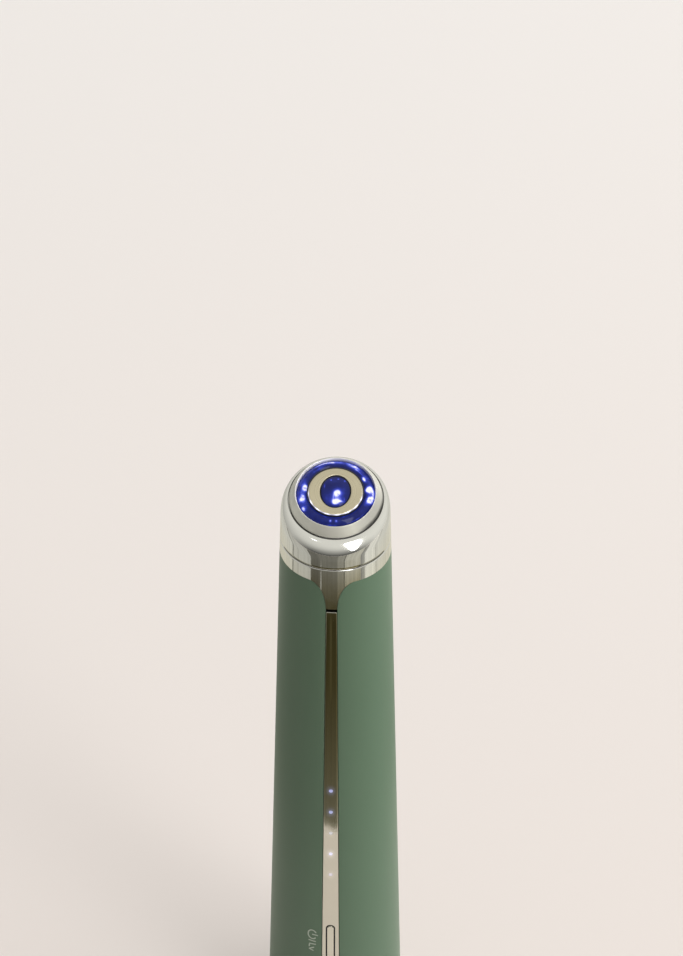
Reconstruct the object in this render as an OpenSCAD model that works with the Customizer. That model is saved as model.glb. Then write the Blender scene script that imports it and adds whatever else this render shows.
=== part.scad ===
// Hand-held radio-frequency facial wand, standing upright on its base.
// Origin: centre of the base on the floor. +Z runs up the wand, and the strip and its button face -Y.
// The photographed end is the head. The lowest fifth of the wand is worked out from what such a wand holds.

/* [Body] */
// Diameter of the body cone at the floor
base_d = 43; // [41:0.5:48]
// Diameter of the body cone at the head seam
seam_d = 32.8; // [31.6:0.2:36]
// Height of the head seam above the floor
seam_z = 195; // [190:1:215]
// Wall of the soft-touch sleeve
sleeve_wall = 1.8; // [1.4:0.1:2]
// Height of the bare metal collar between the seam and the sleeve
collar_band = 5.2; // [4.6:0.1:7]
// Height of the metal band round the base
base_band = 6; // [5:0.5:9]
// Gap of the seam between the head and the collar
seam_gap = 0.3; // [0.2:0.05:0.5]

/* [Front strip] */
// Distance from the seam down to the top of the strip
strip_drop = 16.2; // [15.8:0.1:20]
// Open gap between the collar's tongue and the top of the strip
tongue_gap = 1.2; // [0.6:0.1:1.8]
// Width of the strip at its top
strip_top_w = 3.25; // [2.8:0.05:4]
// Width of the strip at the floor
strip_low_w = 6; // [5:0.05:6.5]
// Thickness of the strip
strip_t = 1.8; // [1.4:0.1:2]
// Gap between the strip and the sleeve on each side
strip_gap = 0.15; // [0.1:0.05:0.3]
// Bevel along the strip's front edges
strip_bevel = 0.3; // [0.15:0.05:0.4]
// Width of the sleeve's rounded corner beside the strip
corner_w = 5.2; // [4:0.1:6]
// Height of the sleeve's rounded corner beside the strip
corner_h = 9.5; // [8:0.1:10]

/* [Level lights] */
// Number of level lights
light_count = 5; // [3:1:6]
// Spacing of the level lights
light_pitch = 8.8; // [6:0.05:9]
// Distance from the seam down to the first light
light_drop = 87.4; // [84:0.2:92]
// Diameter of a light's window
light_d = 1.2; // [0.8:0.1:1.6]

/* [Power button] */
// Distance from the seam down to the top of the button's slot
button_drop = 144.4; // [143:0.1:148]
// Width of the button's slot
slot_w = 3; // [2.6:0.1:3.4]
// Length of the button's slot
slot_l = 21.5; // [16:0.5:23]
// Gap round the key in its slot
key_gap = 0.43; // [0.2:0.01:0.5]
// Travel of the key
key_travel = 0.5; // [0.3:0.05:0.6]
// Height of the key above the strip
key_proud = 0.2; // [0:0.05:0.4]

/* [Head] */
// Tilt of the treatment face towards the front, in degrees
face_tilt = 18; // [14:0.5:20]
// Height of the face centre above the seam
face_rise = 16; // [15.6:0.1:18]
// Diameter of the light ring
ring_d = 23.1; // [22.4:0.1:23.4]
// Depth of the light ring's outer edge below the bezel's lip
ring_sink = 1.1; // [0.3:0.1:1.4]
// Rounding of the light ring between its edges
ring_crown = 0.75; // [0.3:0.05:0.8]
// Diameter of the electrode ring
electrode_d = 16.2; // [15.6:0.1:16.8]
// Thickness of the electrode ring
electrode_t = 1.65; // [1.2:0.05:2]
// Height of the electrode's top above the bezel's lip
electrode_rise = 0.45; // [0.3:0.05:0.8]
// Width of the centre window, across the wand
window_w = 9; // [8.4:0.1:9.6]
// Length of the centre window, front to back
window_l = 11.2; // [10.4:0.1:11.8]
// Width of the black gasket round the lens
gasket_w = 0.4; // [0.3:0.05:0.5]
// Height of the lens crown above the electrode
lens_crown = 0.9; // [0.6:0.1:1.4]
// Flat lip of the bezel round the light ring
lip_w = 0.35; // [0.25:0.05:0.5]
// Width of the bezel's sloping flank
flank_w = 1.85; // [1.5:0.05:2]
// Height of the bezel's sloping flank
flank_h = 3.35; // [3:0.05:3.6]
// Gap of the crease between the bezel and the cap
crease_gap = 0.25; // [0.15:0.05:0.35]
// Height of the cap's rounded shoulder
shoulder_h = 2.6; // [2:0.1:3.2]

/* [Inside] */
// Wall of the inner frames
frame_wall = 1.4; // [1.2:0.1:1.6]
// Depth from the strip's face to the main board
board_depth = 7.5; // [7.2:0.1:8]
// Width of the main board
board_w = 15; // [14:0.5:16]
// Thickness of every circuit board
board_t = 1.2; // [1:0.1:1.6]
// Diameter of the battery cell
battery_d = 18.2; // [16:0.1:18.6]
// Length of the battery cell
battery_l = 65; // [50:1:70]
// Number of lamps under the light ring
lamp_count = 16; // [8:1:18]

/* [Electronics] */
// Distance from the seam down to the middle of the transformer
core_drop = 83; // [82:0.5:84]
// Width of the transformer core
core_w = 13; // [11:0.5:14]
// Length of the transformer core
core_l = 14; // [12:0.5:15]
// Height of the transformer core above its board
core_d = 9; // [7:0.5:10]
// Thickness of the transformer's end plates
core_plate = 2; // [1.5:0.1:2.5]
// Radius of the transformer's middle leg
core_leg_r = 2.2; // [1.8:0.1:2.4]
// Distance from the seam down to the first pair of capacitors
can_drop = 50; // [49:0.5:52]
// Spacing of the capacitor pairs
can_pitch = 8; // [7:0.5:9]
// Diameter of a capacitor
can_d = 6; // [4:0.5:6.5]
// Height of a capacitor
can_h = 7.5; // [5:0.5:8]
// Distance from the seam down to the first control chip
chip_drop = 42; // [41:0.5:43]
// Spacing of the control chips
chip_pitch = 13; // [12:0.5:13.5]
// Width of the smallest control chip
chip_w = 4; // [3:0.5:4.5]
// How much wider each next chip is
chip_step = 1; // [0:0.5:1.5]
// Thickness of a control chip
chip_t = 0.9; // [0.6:0.1:1.2]

/* [Base] */
// Height of the foot ring below the base cap
foot_rise = 0.9; // [0.6:0.1:1.2]
// Thickness of the base cap
cap_t = 2.5; // [2.2:0.1:3]
// Distance from the edge of the base cap in to the foot ring
foot_margin = 1.4; // [1:0.1:2]
// Width of the foot ring
foot_w = 4; // [3:0.2:4.2]
// Width of the charging socket's mouth
port_w = 8.94; // [8.94:0.02:9.2]
// Height of the charging socket's mouth
port_h = 3.26; // [3.26:0.02:3.4]
// Depth of the charging socket
port_l = 7.6; // [7:0.1:8]

/* [Fits] */
// Clearance between parts that slide together
slip = 0.2; // [0.15:0.05:0.3]
// Clearance round a piece that is set in a pocket
seat = 0.05; // [0.04:0.01:0.08]

/* [Hidden] */
$fn = 96;

// Colours, as the photograph shows them
chrome_c = [0.72, 0.71, 0.67];
champagne_c = [0.79, 0.76, 0.66];
green_c = [0.31, 0.40, 0.30];
navy_c = [0.06, 0.08, 0.34];
black_c = [0.05, 0.05, 0.06];
board_c = [0.05, 0.30, 0.18];
lamp_c = [0.93, 0.93, 0.88];
steel_c = [0.62, 0.63, 0.65];
copper_c = [0.72, 0.42, 0.22];
cell_c = [0.20, 0.42, 0.62];
rubber_c = [0.16, 0.17, 0.16];
amber_c = [0.70, 0.45, 0.12];

// Body cone
over = 1;
base_r = base_d / 2;
seam_r = seam_d / 2;
taper = (base_r - seam_r) / seam_z;
flank = atan(taper);
sleeve_low = base_band;
sleeve_top = seam_z - collar_band;
frame_in = max(sleeve_wall, strip_t) + slip;
frame_low = base_band + 6;
ledge_h = 1.6;
ledge_low = sleeve_top - 0.8;
frame_top = ledge_low;
split_gap = 0.1;

// Front strip and what lies behind it
strip_top = seam_z - strip_drop;
strip_low = base_band + strip_gap;
strip_corner = 0.7;
tongue_low = strip_top + tongue_gap;
board_back = board_depth + board_t;
board_low = seam_z - button_drop - slot_l - 4;
board_top = seam_z - 23;
button_z = seam_z - button_drop - slot_l / 2;
light_low = seam_z - light_drop - (light_count - 1) * light_pitch;
light_mid = seam_z - light_drop - (light_count - 1) * light_pitch / 2;
light_r = light_d / 2;
lamp_h = 0.8;
holder_w = 4;
holder_from = frame_in + frame_wall + 0.2;
window_room = 1.1;

// Key, from its face inwards
key_w = slot_w - 2 * key_gap;
key_l = slot_l - 2 * key_gap;
flange_from = strip_t + slip;
flange_t = 0.9;
flange_room = 1.4;
nub_r = 1.2;
switch_w = 4.6;
switch_h = 1.6;
plunger_r = 1;
plunger_from = board_depth - switch_h - key_travel - 0.8;
plunger_in = 0.5;
running = 0.05;

// Head, measured from the face centre along the face's own axis
face_z = seam_z + face_rise;
ring_r = ring_d / 2;
bore_r = ring_r + seat;
bezel_r = bore_r + lip_w + flank_w;
crease_r = bezel_r + crease_gap;
crease_low = -flank_h - 0.3;
ring_in_r = electrode_d / 2 + 0.35;
ring_low = -2.5;
skirt_r = bore_r - 1;
skirt_low = -6.4;
flange_r = bezel_r - 0.75;
flange_low = -5.2;
head_bore_r = flange_r - 0.6;
head_bore_low = -9.5;
electrode_low = electrode_rise - electrode_t;
plate_t = 1.2;
lamp_turn = 1 / 3;
tunnel_r = 3.6;
pin_ring_r = (window_w / 2 + electrode_d / 2) / 2 + 0.3;
sensor_ring_r = (window_l / 2 + electrode_d / 2) / 2;
pin_r = 0.6;
head_board_low = skirt_low - board_t;
bezel_screw_r = skirt_r + 0.72;
spigot_r = body_r(seam_z) - sleeve_wall - slip;
spigot_wall = 1.3;
spigot_low = ledge_low + ledge_h;
hall_top = face_z - 9.4;
seal_r = 0.6;
seal_z = spigot_low + 2.3;
cap_steps = 8;
cap_sides = 90;
connector_y = -3;
connector_h = 1.6;

// Screws inside the body
boss_r = 2;
screw_r = 0.8;
thread_gap = 0.02;
screw_sink = 2.6;
frame_screw_z = [frame_low + 6, seam_z - light_drop - 8, seam_z - 29];
base_screw_sink = 1.5;
base_boss_h = 5.5;

// Battery and what is round it
battery_r = battery_d / 2;
battery_y = 1.5;
battery_low = frame_low + 14;
rib_t = 2;
pad_z = [battery_low + 14, battery_low + battery_l - 16];
pad_w = 7;
board_screw_z = [seam_z - 30, (pad_z[0] + pad_z[1]) / 2];

// Base
cap_low = foot_rise;
cap_top = cap_low + cap_t;
ring_bore_r = base_r - 2.2;
cap_r = ring_bore_r - 2 * seat;
foot_r = cap_r - foot_margin;
foot_sink = 0.6;
base_screw_y = foot_r - foot_w - 2.8;
port_low = cap_low + 0.5;
port_top = port_low + port_l + 0.5;
port_wall = 0.3;
post_x = 7;
post_r = 1.5;

function body_r(z) = base_r - taper * z;
function on_flank(z) = z / cos(flank);
function strip_half(z) = (strip_low_w + (strip_top_w - strip_low_w) * z / strip_top) / 2;

// Solid of the body cone between two heights, set in from its surface
module cone_solid(low, top, inset) {
    translate([0, 0, low])
        cylinder(h = top - low, r1 = body_r(low) - inset, r2 = body_r(top) - inset);
}

module cone_shell(low, top, inset, wall) {
    difference() {
        cone_solid(low, top, inset);
        cone_solid(low - over, top + over, inset + wall);
    }
}

// Places a piece on the cone's front line: Y runs inwards from the surface, Z up along the line
module on_front() {
    translate([0, -base_r, 0]) rotate([-flank, 0, 0]) children();
}

// Extrudes a flat outline drawn in X and Z, from one depth to another
module through(from, to) {
    translate([0, to, 0]) rotate([90, 0, 0]) linear_extrude(to - from) children();
}

// Puts a piece at a height on the front line
module front_at(z) {
    on_front() translate([0, 0, on_flank(z)]) children();
}

module pill(w, l) {
    square([w, l - w], center = true);
    for (side = [-1, 1]) translate([0, side * (l - w) / 2]) circle(d = w);
}

// Tapered outline of the strip with round upper corners, grown by a gap
module strip_outline(grow, low, top, corner) {
    half_low = strip_half(low) + grow;
    half_top = strip_half(top) + grow;
    arc = [for (a = [0 : 15 : 90]) [half_top - corner + corner * cos(a), top - corner + corner * sin(a)]];
    mirrored = [for (i = [len(arc) - 1 : -1 : 0]) [-arc[i].x, arc[i].y]];
    polygon(concat([[-half_low, low], [half_low, low]], arc, mirrored));
}

// Opening between the sleeve's two rounded corners. Each corner is a quarter of an ellipse.
module corner_outline(shrink) {
    half = strip_half(strip_top) + strip_gap - shrink;
    foot = sleeve_top - corner_h + shrink;
    right = [for (a = [0 : 5 : 90]) [half + corner_w * (1 - cos(a)), foot + corner_h * sin(a)]];
    left = [for (i = [len(right) - 1 : -1 : 0]) [-right[i].x, right[i].y]];
    wide = half + corner_w;
    polygon(concat(
        [[-half, foot - corner_h], [half, foot - corner_h]], right,
        [[wide, sleeve_top + collar_band], [-wide, sleeve_top + collar_band]], left));
}

// Screw along +Z, with its head below the origin and a hexagon socket in the head
module screw(shaft_r, length, head_r, head_h) {
    difference() {
        union() {
            translate([0, 0, -head_h]) cylinder(h = head_h, r = head_r);
            cylinder(h = length, r = shaft_r);
        }
        translate([0, 0, -head_h - over]) cylinder(h = over + head_h * 0.6, r = head_r * 0.5, $fn = 6);
    }
}

// Places a piece on the face: X across, Y towards the back, Z out of the face
module on_face() {
    translate([0, 0, face_z]) rotate([face_tilt, 0, 0]) children();
}

// A solid of revolution from an outline of radius and height
module turned(points) {
    rotate_extrude() polygon(points);
}

module oval(w, l) {
    polygon([for (a = [0 : 6 : 354]) [w / 2 * cos(a), l / 2 * sin(a)]]);
}

module tube(outer, inner, low, top) {
    translate([0, 0, low]) difference() {
        cylinder(h = top - low, r = outer);
        translate([0, 0, -over]) cylinder(h = top - low + 2 * over, r = inner);
    }
}

// The cap's skin follows the round body at the seam and the tilted crease at the top.
// A corner point, where the wall would meet the crease's plane, bends a quadratic curve between them.
function corner_height(y) = face_z + (y * sin(face_tilt) + crease_low) / cos(face_tilt);
function wall_point(a, z) = [body_r(z) * cos(a), body_r(z) * sin(a), z];
function corner_z(a) = corner_height(body_r(seam_z + face_rise / 2) * sin(a));
function crease_point(a) = [
    crease_r * cos(a),
    crease_r * sin(a) * cos(face_tilt) - crease_low * sin(face_tilt),
    face_z + crease_r * sin(a) * sin(face_tilt) + crease_low * cos(face_tilt)
];
function shoulder_point(a, s) =
    (1 - s) * (1 - s) * wall_point(a, corner_z(a) - shoulder_h)
    + 2 * s * (1 - s) * wall_point(a, corner_z(a))
    + s * s * crease_point(a);

module cap_skin() {
    edge = 0.25;
    angles = [for (i = [0 : cap_sides - 1]) i * 360 / cap_sides];
    foot_ring = [for (a = angles) wall_point(a, seam_z) - edge * [cos(a), sin(a), 0]];
    edge_ring = [for (a = angles) wall_point(a, seam_z + edge)];
    shoulder = [for (j = [0 : cap_steps]) for (a = angles) shoulder_point(a, j / cap_steps)];
    rows = cap_steps + 3;
    sides = [for (j = [0 : rows - 2]) for (i = [0 : cap_sides - 1])
        let (n = (i + 1) % cap_sides, low = j * cap_sides, high = low + cap_sides)
        each [[low + i, high + n, low + n], [low + i, high + i, high + n]]];
    floor_face = [for (i = [0 : cap_sides - 1]) i];
    top_face = [for (i = [cap_sides - 1 : -1 : 0]) (rows - 1) * cap_sides + i];
    polyhedron(concat(foot_ring, edge_ring, shoulder), concat(sides, [floor_face, top_face]));
}

module head_cap() {
    color(chrome_c) difference() {
        union() {
            cap_skin();
            translate([0, 0, spigot_low]) cylinder(h = seam_z + 0.5 - spigot_low, r = spigot_r);
        }
        translate([0, 0, spigot_low - over])
            cylinder(h = hall_top - spigot_low + over, r = spigot_r - spigot_wall);
        on_face() {
            translate([0, 0, flange_low]) cylinder(h = 9, r = flange_r + seat);
            translate([0, 0, head_bore_low]) cylinder(h = 12, r = head_bore_r);
        }
        translate([0, 0, seal_z]) rotate_extrude()
            translate([spigot_r - seal_r + seat, 0])
                square([2 * seal_r, 2 * (seal_r + seat)], center = true);
    }
}

module face_bezel() {
    top_r = bore_r + lip_w;
    bulge = 0.18;
    bands = 6;
    slope = [for (i = [0 : bands]) let (s = i / bands)
        [top_r + flank_w * s + bulge * sin(180 * s), -flank_h * s]];
    outline = concat(
        [[bore_r, 0]], slope,
        [[flange_r, -flank_h - 0.1], [flange_r, flange_low], [head_bore_r - seat, flange_low],
         [head_bore_r - seat, skirt_low], [skirt_r, skirt_low], [skirt_r, ring_low], [bore_r, ring_low]]);
    color(champagne_c) on_face() difference() {
        turned(outline);
        bezel_screw_places() translate([0, 0, skirt_low - over])
            cylinder(h = 2.2 + over, r = 0.5 + thread_gap);
    }
}

module bezel_screw_places() {
    for (a = [90, 210, 330]) rotate([0, 0, a]) translate([bezel_screw_r, 0, 0]) children();
}

module light_ring() {
    steps = 8;
    rise = ring_sink * 0.7;
    top = [for (i = [0 : steps]) let (s = i / steps)
        [ring_r + (ring_in_r + seat - ring_r) * s, -ring_sink + rise * s + ring_crown * sin(180 * s)]];
    color(navy_c) on_face() turned(concat(top, [[ring_in_r + seat, ring_low], [ring_r, ring_low]]));
}

module electrode_ring() {
    r = electrode_d / 2;
    bevel = 0.22;
    color(champagne_c) on_face() difference() {
        turned([[0, electrode_low], [r, electrode_low], [r, electrode_rise - bevel],
            [r - bevel, electrode_rise], [0, electrode_rise]]);
        translate([0, 0, electrode_low - over]) linear_extrude(electrode_t + 2 * over)
            oval(window_w, window_l);
    }
}

module centre_lens() {
    dome = 12;
    w = window_w - 2 * gasket_w - 2 * seat;
    l = window_l - 2 * gasket_w - 2 * seat;
    color(navy_c) on_face() intersection() {
        translate([0, 0, electrode_low]) linear_extrude(electrode_t + lens_crown + over) oval(w, l);
        translate([0, 0, electrode_rise + lens_crown - dome]) sphere(r = dome);
    }
}

module lens_gasket() {
    color(black_c) on_face() translate([0, 0, electrode_low]) linear_extrude(electrode_t - 0.1)
        difference() {
            oval(window_w - seat, window_l - seat);
            oval(window_w - 2 * gasket_w, window_l - 2 * gasket_w);
        }
}

module electrode_carrier() {
    wall = 0.85;
    rim_in = electrode_d / 2 + seat;
    plate_low = electrode_low - plate_t;
    color(black_c) on_face() difference() {
        union() {
            tube(ring_in_r, rim_in, electrode_low, electrode_rise - 0.15);
            tube(ring_in_r, tunnel_r, plate_low, electrode_low);
            tube(ring_in_r, ring_in_r - wall, skirt_low, plate_low);
            tube(tunnel_r + 0.6, tunnel_r, skirt_low + 1.2, plate_low);
        }
        pin_places() translate([0, 0, plate_low - over]) cylinder(h = plate_t + 2 * over, r = pin_r + seat);
        sensor_place() translate([0, 0, plate_low - over])
            cylinder(h = plate_t + 2 * over, r = pin_r + seat);
    }
}

module pin_places() {
    for (side = [-1, 1]) translate([side * pin_ring_r, 0, 0]) children();
}

module sensor_place() {
    translate([0, sensor_ring_r, 0]) children();
}

module head_board() {
    color(board_c) on_face() difference() {
        translate([0, 0, head_board_low]) cylinder(h = board_t, r = head_bore_r - slip);
        bezel_screw_places() translate([0, 0, head_board_low - over])
            cylinder(h = board_t + 2 * over, r = 0.5 + seat);
    }
}

module ring_lamps() {
    at_r = (ring_in_r + skirt_r) / 2;
    color(lamp_c) on_face() for (i = [0 : lamp_count - 1])
        rotate([0, 0, (i + lamp_turn) * 360 / lamp_count]) translate([at_r - 0.7, -0.8, skirt_low])
            cube([1.4, 1.6, lamp_h]);
}

module centre_lamp() {
    color(lamp_c) on_face() translate([0, 0, skirt_low]) {
        translate([-1.4, -1.4, 0]) cube([2.8, 2.8, 0.8]);
        translate([0, 0, 0.8]) cylinder(h = 0.5, r = 1.1);
    }
}

module temperature_sensor() {
    color(amber_c) on_face() sensor_place() translate([0, 0, skirt_low])
        cylinder(h = electrode_low - skirt_low, r = pin_r);
}

module contact_pins() {
    color(copper_c) on_face() pin_places() {
        translate([0, 0, skirt_low]) cylinder(h = electrode_low - skirt_low, r = pin_r);
        translate([0, 0, skirt_low]) cylinder(h = 1.6, r = pin_r + 0.4);
    }
}

module bezel_screws() {
    color(steel_c) on_face() bezel_screw_places() translate([0, 0, head_board_low])
        screw(0.5, board_t + 1.8, 0.9, 0.7);
}

module head_connector() {
    color(lamp_c) on_face() translate([-3.5, connector_y - 1.5, head_board_low - connector_h])
        cube([7, 3, connector_h]);
}

module head_seal() {
    color(rubber_c) translate([0, 0, seal_z])
        rotate_extrude() translate([spigot_r - seal_r + 2 * seat, 0]) circle(r = seal_r);
}

module collar() {
    bevel = 0.35;
    top = seam_z - seam_gap;
    color(chrome_c) difference() {
        union() {
            difference() {
                union() {
                    cone_shell(tongue_low, top - bevel, 0, sleeve_wall);
                    difference() {
                        translate([0, 0, top - bevel]) cylinder(h = bevel,
                            r1 = body_r(top - bevel), r2 = body_r(top - bevel) - bevel);
                        translate([0, 0, tongue_low]) cylinder(h = collar_band + strip_drop,
                            r = spigot_r + slip);
                    }
                }
                sleeve_space(0.1);
            }
            tube(spigot_r + slip + 0.3, spigot_r - spigot_wall, ledge_low, spigot_low);
        }
        difference() {
            cone_solid(ledge_low - over, sleeve_top + 0.1, 0);
            cone_solid(ledge_low - over, sleeve_top + 0.1 + over, sleeve_wall + 0.1);
            on_front() through(-2, 5) corner_outline(0.1);
        }
    }
}

// The room that the sleeve takes, with a gap round it
module sleeve_space(gap) {
    difference() {
        cone_solid(0, sleeve_top + gap, -over);
        on_front() through(-4, 5) corner_outline(gap);
    }
}

module body_sleeve() {
    color(green_c) difference() {
        cone_shell(sleeve_low, sleeve_top, 0, sleeve_wall);
        on_front() {
            through(-2, sleeve_wall + 3) strip_outline(strip_gap, -5, strip_top, 0.1);
            through(-2, 5) corner_outline(0);
        }
    }
}

module trim_strip() {
    low = on_flank(strip_low);
    top = on_flank(strip_top);
    color(chrome_c) on_front() difference() {
        hull() {
            through(0, 0.01) strip_outline(-strip_bevel, low, top - strip_bevel, strip_corner);
            through(strip_bevel, strip_t) strip_outline(0, low, top, strip_corner);
        }
        light_places() rotate([-90, 0, 0]) translate([0, 0, -over])
            cylinder(h = strip_t + 2 * over, r = light_r + seat);
        translate([0, 0, on_flank(button_z)]) through(-1, strip_t + 1) pill(slot_w, slot_l);
    }
}

module light_places() {
    for (i = [0 : light_count - 1])
        translate([0, 0, on_flank(seam_z - light_drop - i * light_pitch)]) children();
}

module level_lights() {
    color(lamp_c) on_front() light_places() rotate([-90, 0, 0])
        cylinder(h = board_depth - lamp_h - slip, r = light_r);
}

module light_holder() {
    length = light_pitch * (light_count - 1) + 5;
    to = board_depth - lamp_h - 0.3;
    color(black_c) on_front() difference() {
        translate([0, 0, on_flank(light_mid)]) through(holder_from, to)
            square([holder_w, length], center = true);
        light_places() rotate([-90, 0, 0]) cylinder(h = board_depth, r = light_r + seat);
    }
}

module level_lamps() {
    color(lamp_c) on_front() light_places() through(board_depth - lamp_h, board_depth)
        square([1.6, 0.9], center = true);
}

module power_button() {
    color(chrome_c) front_at(button_z) {
        through(-key_proud, flange_from) pill(key_w, key_l);
        through(flange_from, flange_from + flange_t) pill(slot_w + flange_room, key_l + flange_room);
        rotate([-90, 0, 0]) translate([0, 0, flange_from])
            cylinder(h = plunger_from - flange_from, r = nub_r);
    }
}

module switch_plunger() {
    color(black_c) front_at(button_z) rotate([-90, 0, 0]) translate([0, 0, plunger_from])
        cylinder(h = board_depth - switch_h - plunger_from + plunger_in, r = plunger_r);
}

module button_switch() {
    color(steel_c) front_at(button_z) difference() {
        through(board_depth - switch_h, board_depth) square(switch_w, center = true);
        rotate([-90, 0, 0]) translate([0, 0, board_depth - switch_h - over])
            cylinder(h = over + plunger_in + key_travel + 0.1, r = plunger_r + running);
    }
}

// One half of the inner frame: a shell inside the sleeve, split along the wand's middle
module frame_half(side) {
    intersection() {
        cone_shell(frame_low, frame_top, frame_in, frame_wall);
        translate([-base_r, side > 0 ? split_gap : -split_gap - base_d, 0]) cube([base_d, base_d, seam_z]);
    }
}

function boss_x(z) = body_r(z) - frame_in - frame_wall - boss_r + 0.4;

// A screw boss beside the split, from near the middle plane to a depth
module frame_bosses(side, depth) {
    for (z = frame_screw_z) for (x = [-1, 1])
        translate([x * boss_x(z), side * split_gap, z]) rotate([-side * 90, 0, 0])
            cylinder(h = depth, r = boss_r);
}

module base_boss(side) {
    translate([0, side * base_screw_y, frame_low]) cylinder(h = base_boss_h, r = 2.4);
    intersection() {
        translate([-1.5, side > 0 ? base_screw_y : -base_r, frame_low])
            cube([3, base_r - base_screw_y, base_boss_h]);
        cone_solid(frame_low, frame_top, frame_in + frame_wall / 2);
    }
}

module base_screw_hole(side) {
    translate([0, side * base_screw_y, frame_low - over])
        cylinder(h = base_boss_h + 2 * over, r = 1 + thread_gap);
}

module front_frame() {
    rail_w = 1.4;
    rail_low = on_flank(board_low);
    rail_top = on_flank(board_top);
    color(black_c) difference() {
        union() {
            frame_half(-1);
            frame_bosses(-1, 5);
            base_boss(-1);
            intersection() {
                on_front() for (side = [-1, 1])
                    translate([side * (board_w / 2 - rail_w) - rail_w / 2, frame_in, rail_low])
                        cube([rail_w, board_depth - frame_in, rail_top - rail_low]);
                cone_solid(frame_low, frame_top, frame_in + frame_wall / 2);
            }
            board_bosses() rotate([-90, 0, 0]) translate([0, 0, frame_in + 0.4])
                cylinder(h = board_depth - frame_in - 0.4, r = boss_r);
        }
        frame_screw_holes(-1, 4.5, screw_r + thread_gap);
        base_screw_hole(-1);
        board_bosses() rotate([-90, 0, 0]) translate([0, 0, frame_in + frame_wall])
            cylinder(h = board_depth, r = screw_r + thread_gap);
        on_front() light_places() rotate([-90, 0, 0])
            cylinder(h = frame_in + frame_wall + over, r = light_r + 0.3);
        front_at(button_z) through(0, frame_in + frame_wall + over)
            pill(slot_w + flange_room + window_room, key_l + flange_room + window_room);
    }
}

module board_bosses() {
    for (z = board_screw_z) front_at(z) children();
}

module frame_screw_holes(side, depth, r) {
    for (z = frame_screw_z) for (x = [-1, 1])
        translate([x * boss_x(z), side * (split_gap - over), z]) rotate([-side * 90, 0, 0])
            cylinder(h = depth + over, r = r);
}

module rear_frame() {
    color(black_c) difference() {
        union() {
            frame_half(1);
            frame_bosses(1, 4);
            base_boss(1);
            battery_ribs();
        }
        frame_screw_holes(1, 30, screw_r + 0.1);
        for (z = frame_screw_z) for (x = [-1, 1])
            translate([x * boss_x(z), split_gap + screw_sink, z]) rotate([-90, 0, 0])
                cylinder(h = base_r, r = 1.7);
        base_screw_hole(1);
        translate([0, battery_y, battery_low - slip])
            cylinder(h = battery_l + 2 * slip, r = battery_r + slip);
    }
}

module battery_ribs() {
    intersection() {
        for (z = [battery_low - rib_t / 2, battery_low + (battery_l - rib_t) / 2,
                battery_low + battery_l - rib_t / 2])
            translate([-base_r, split_gap, z]) cube([base_d, base_d, rib_t]);
        cone_solid(frame_low, frame_top, frame_in + frame_wall / 2);
        translate([-base_r, battery_y + 2, 0]) cube([base_d, base_d, seam_z]);
    }
}

module frame_screws() {
    color(steel_c) for (z = frame_screw_z) for (x = [-1, 1])
        translate([x * boss_x(z), split_gap + screw_sink, z]) rotate([90, 0, 0]) screw(screw_r, 6.6, 1.5, 1);
}

module main_board() {
    color(board_c) on_front() difference() {
        through(board_depth, board_back) translate([-board_w / 2, on_flank(board_low)])
            square([board_w, on_flank(board_top) - on_flank(board_low)]);
        for (z = board_screw_z) translate([0, 0, on_flank(z)]) rotate([-90, 0, 0])
            cylinder(h = board_back + over, r = screw_r + 0.1);
    }
}

module board_screws() {
    color(steel_c) board_bosses() rotate([90, 0, 0]) translate([0, 0, -board_back])
        screw(screw_r, board_back - frame_in - frame_wall - 0.4, 1.5, 1);
}

module control_chips() {
    color(black_c) for (i = [0 : 2])
        front_at(seam_z - chip_drop - i * chip_pitch) through(board_depth - chip_t, board_depth)
            square(chip_w + i * chip_step, center = true);
}

module transformer_core() {
    leg_w = core_w * 0.14;
    color(black_c) front_at(seam_z - core_drop) translate([0, board_back, 0]) {
        for (depth = [0, core_d - core_plate]) through(depth, depth + core_plate)
            square([core_w, core_l], center = true);
        through(core_plate, core_d - core_plate) for (side = [-1, 1])
            translate([side * (core_w - leg_w) / 2, 0]) square([leg_w, core_l], center = true);
        rotate([-90, 0, 0]) cylinder(h = core_d, r = core_leg_r);
    }
}

module transformer_coil() {
    coil_r = core_w / 2 - core_w * 0.14 - slip;
    color(copper_c) front_at(seam_z - core_drop) translate([0, board_back, 0]) rotate([-90, 0, 0])
        tube(coil_r, core_leg_r + seat, core_plate, core_d - core_plate);
}

module capacitors() {
    apart = can_d / 2 + 0.4;
    color(steel_c) for (i = [0 : 2]) for (side = [-1, 1])
        front_at(seam_z - can_drop - i * can_pitch) translate([side * apart, board_back, 0])
            rotate([-90, 0, 0]) cylinder(h = can_h, r = can_d / 2);
}

module board_connector() {
    color(lamp_c) front_at(board_top - 2.2) translate([0, board_back, 0]) through(0, connector_h)
        square([7, 3], center = true);
}

// Ribbon of constant thickness along points of depth and height, extruded across the wand
function ribbon_side(path, offset) = [for (i = [0 : len(path) - 1])
    let (before = path[max(i - 1, 0)], after = path[min(i + 1, len(path) - 1)],
         along = (after - before) / norm(after - before))
    path[i] + offset * [-along.y, along.x]];

module ribbon(path, width) {
    thick = 0.3;
    one = ribbon_side(path, thick / 2);
    other = ribbon_side(path, -thick / 2);
    turned_back = [for (i = [len(other) - 1 : -1 : 0]) other[i]];
    rotate([90, 0, 90]) translate([0, 0, -width / 2]) linear_extrude(width)
        polygon(concat(one, turned_back));
}

// Depth and height in the wand of a point given on the front line
function front_point(depth, z) = [-body_r(z) + depth, z];

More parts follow.
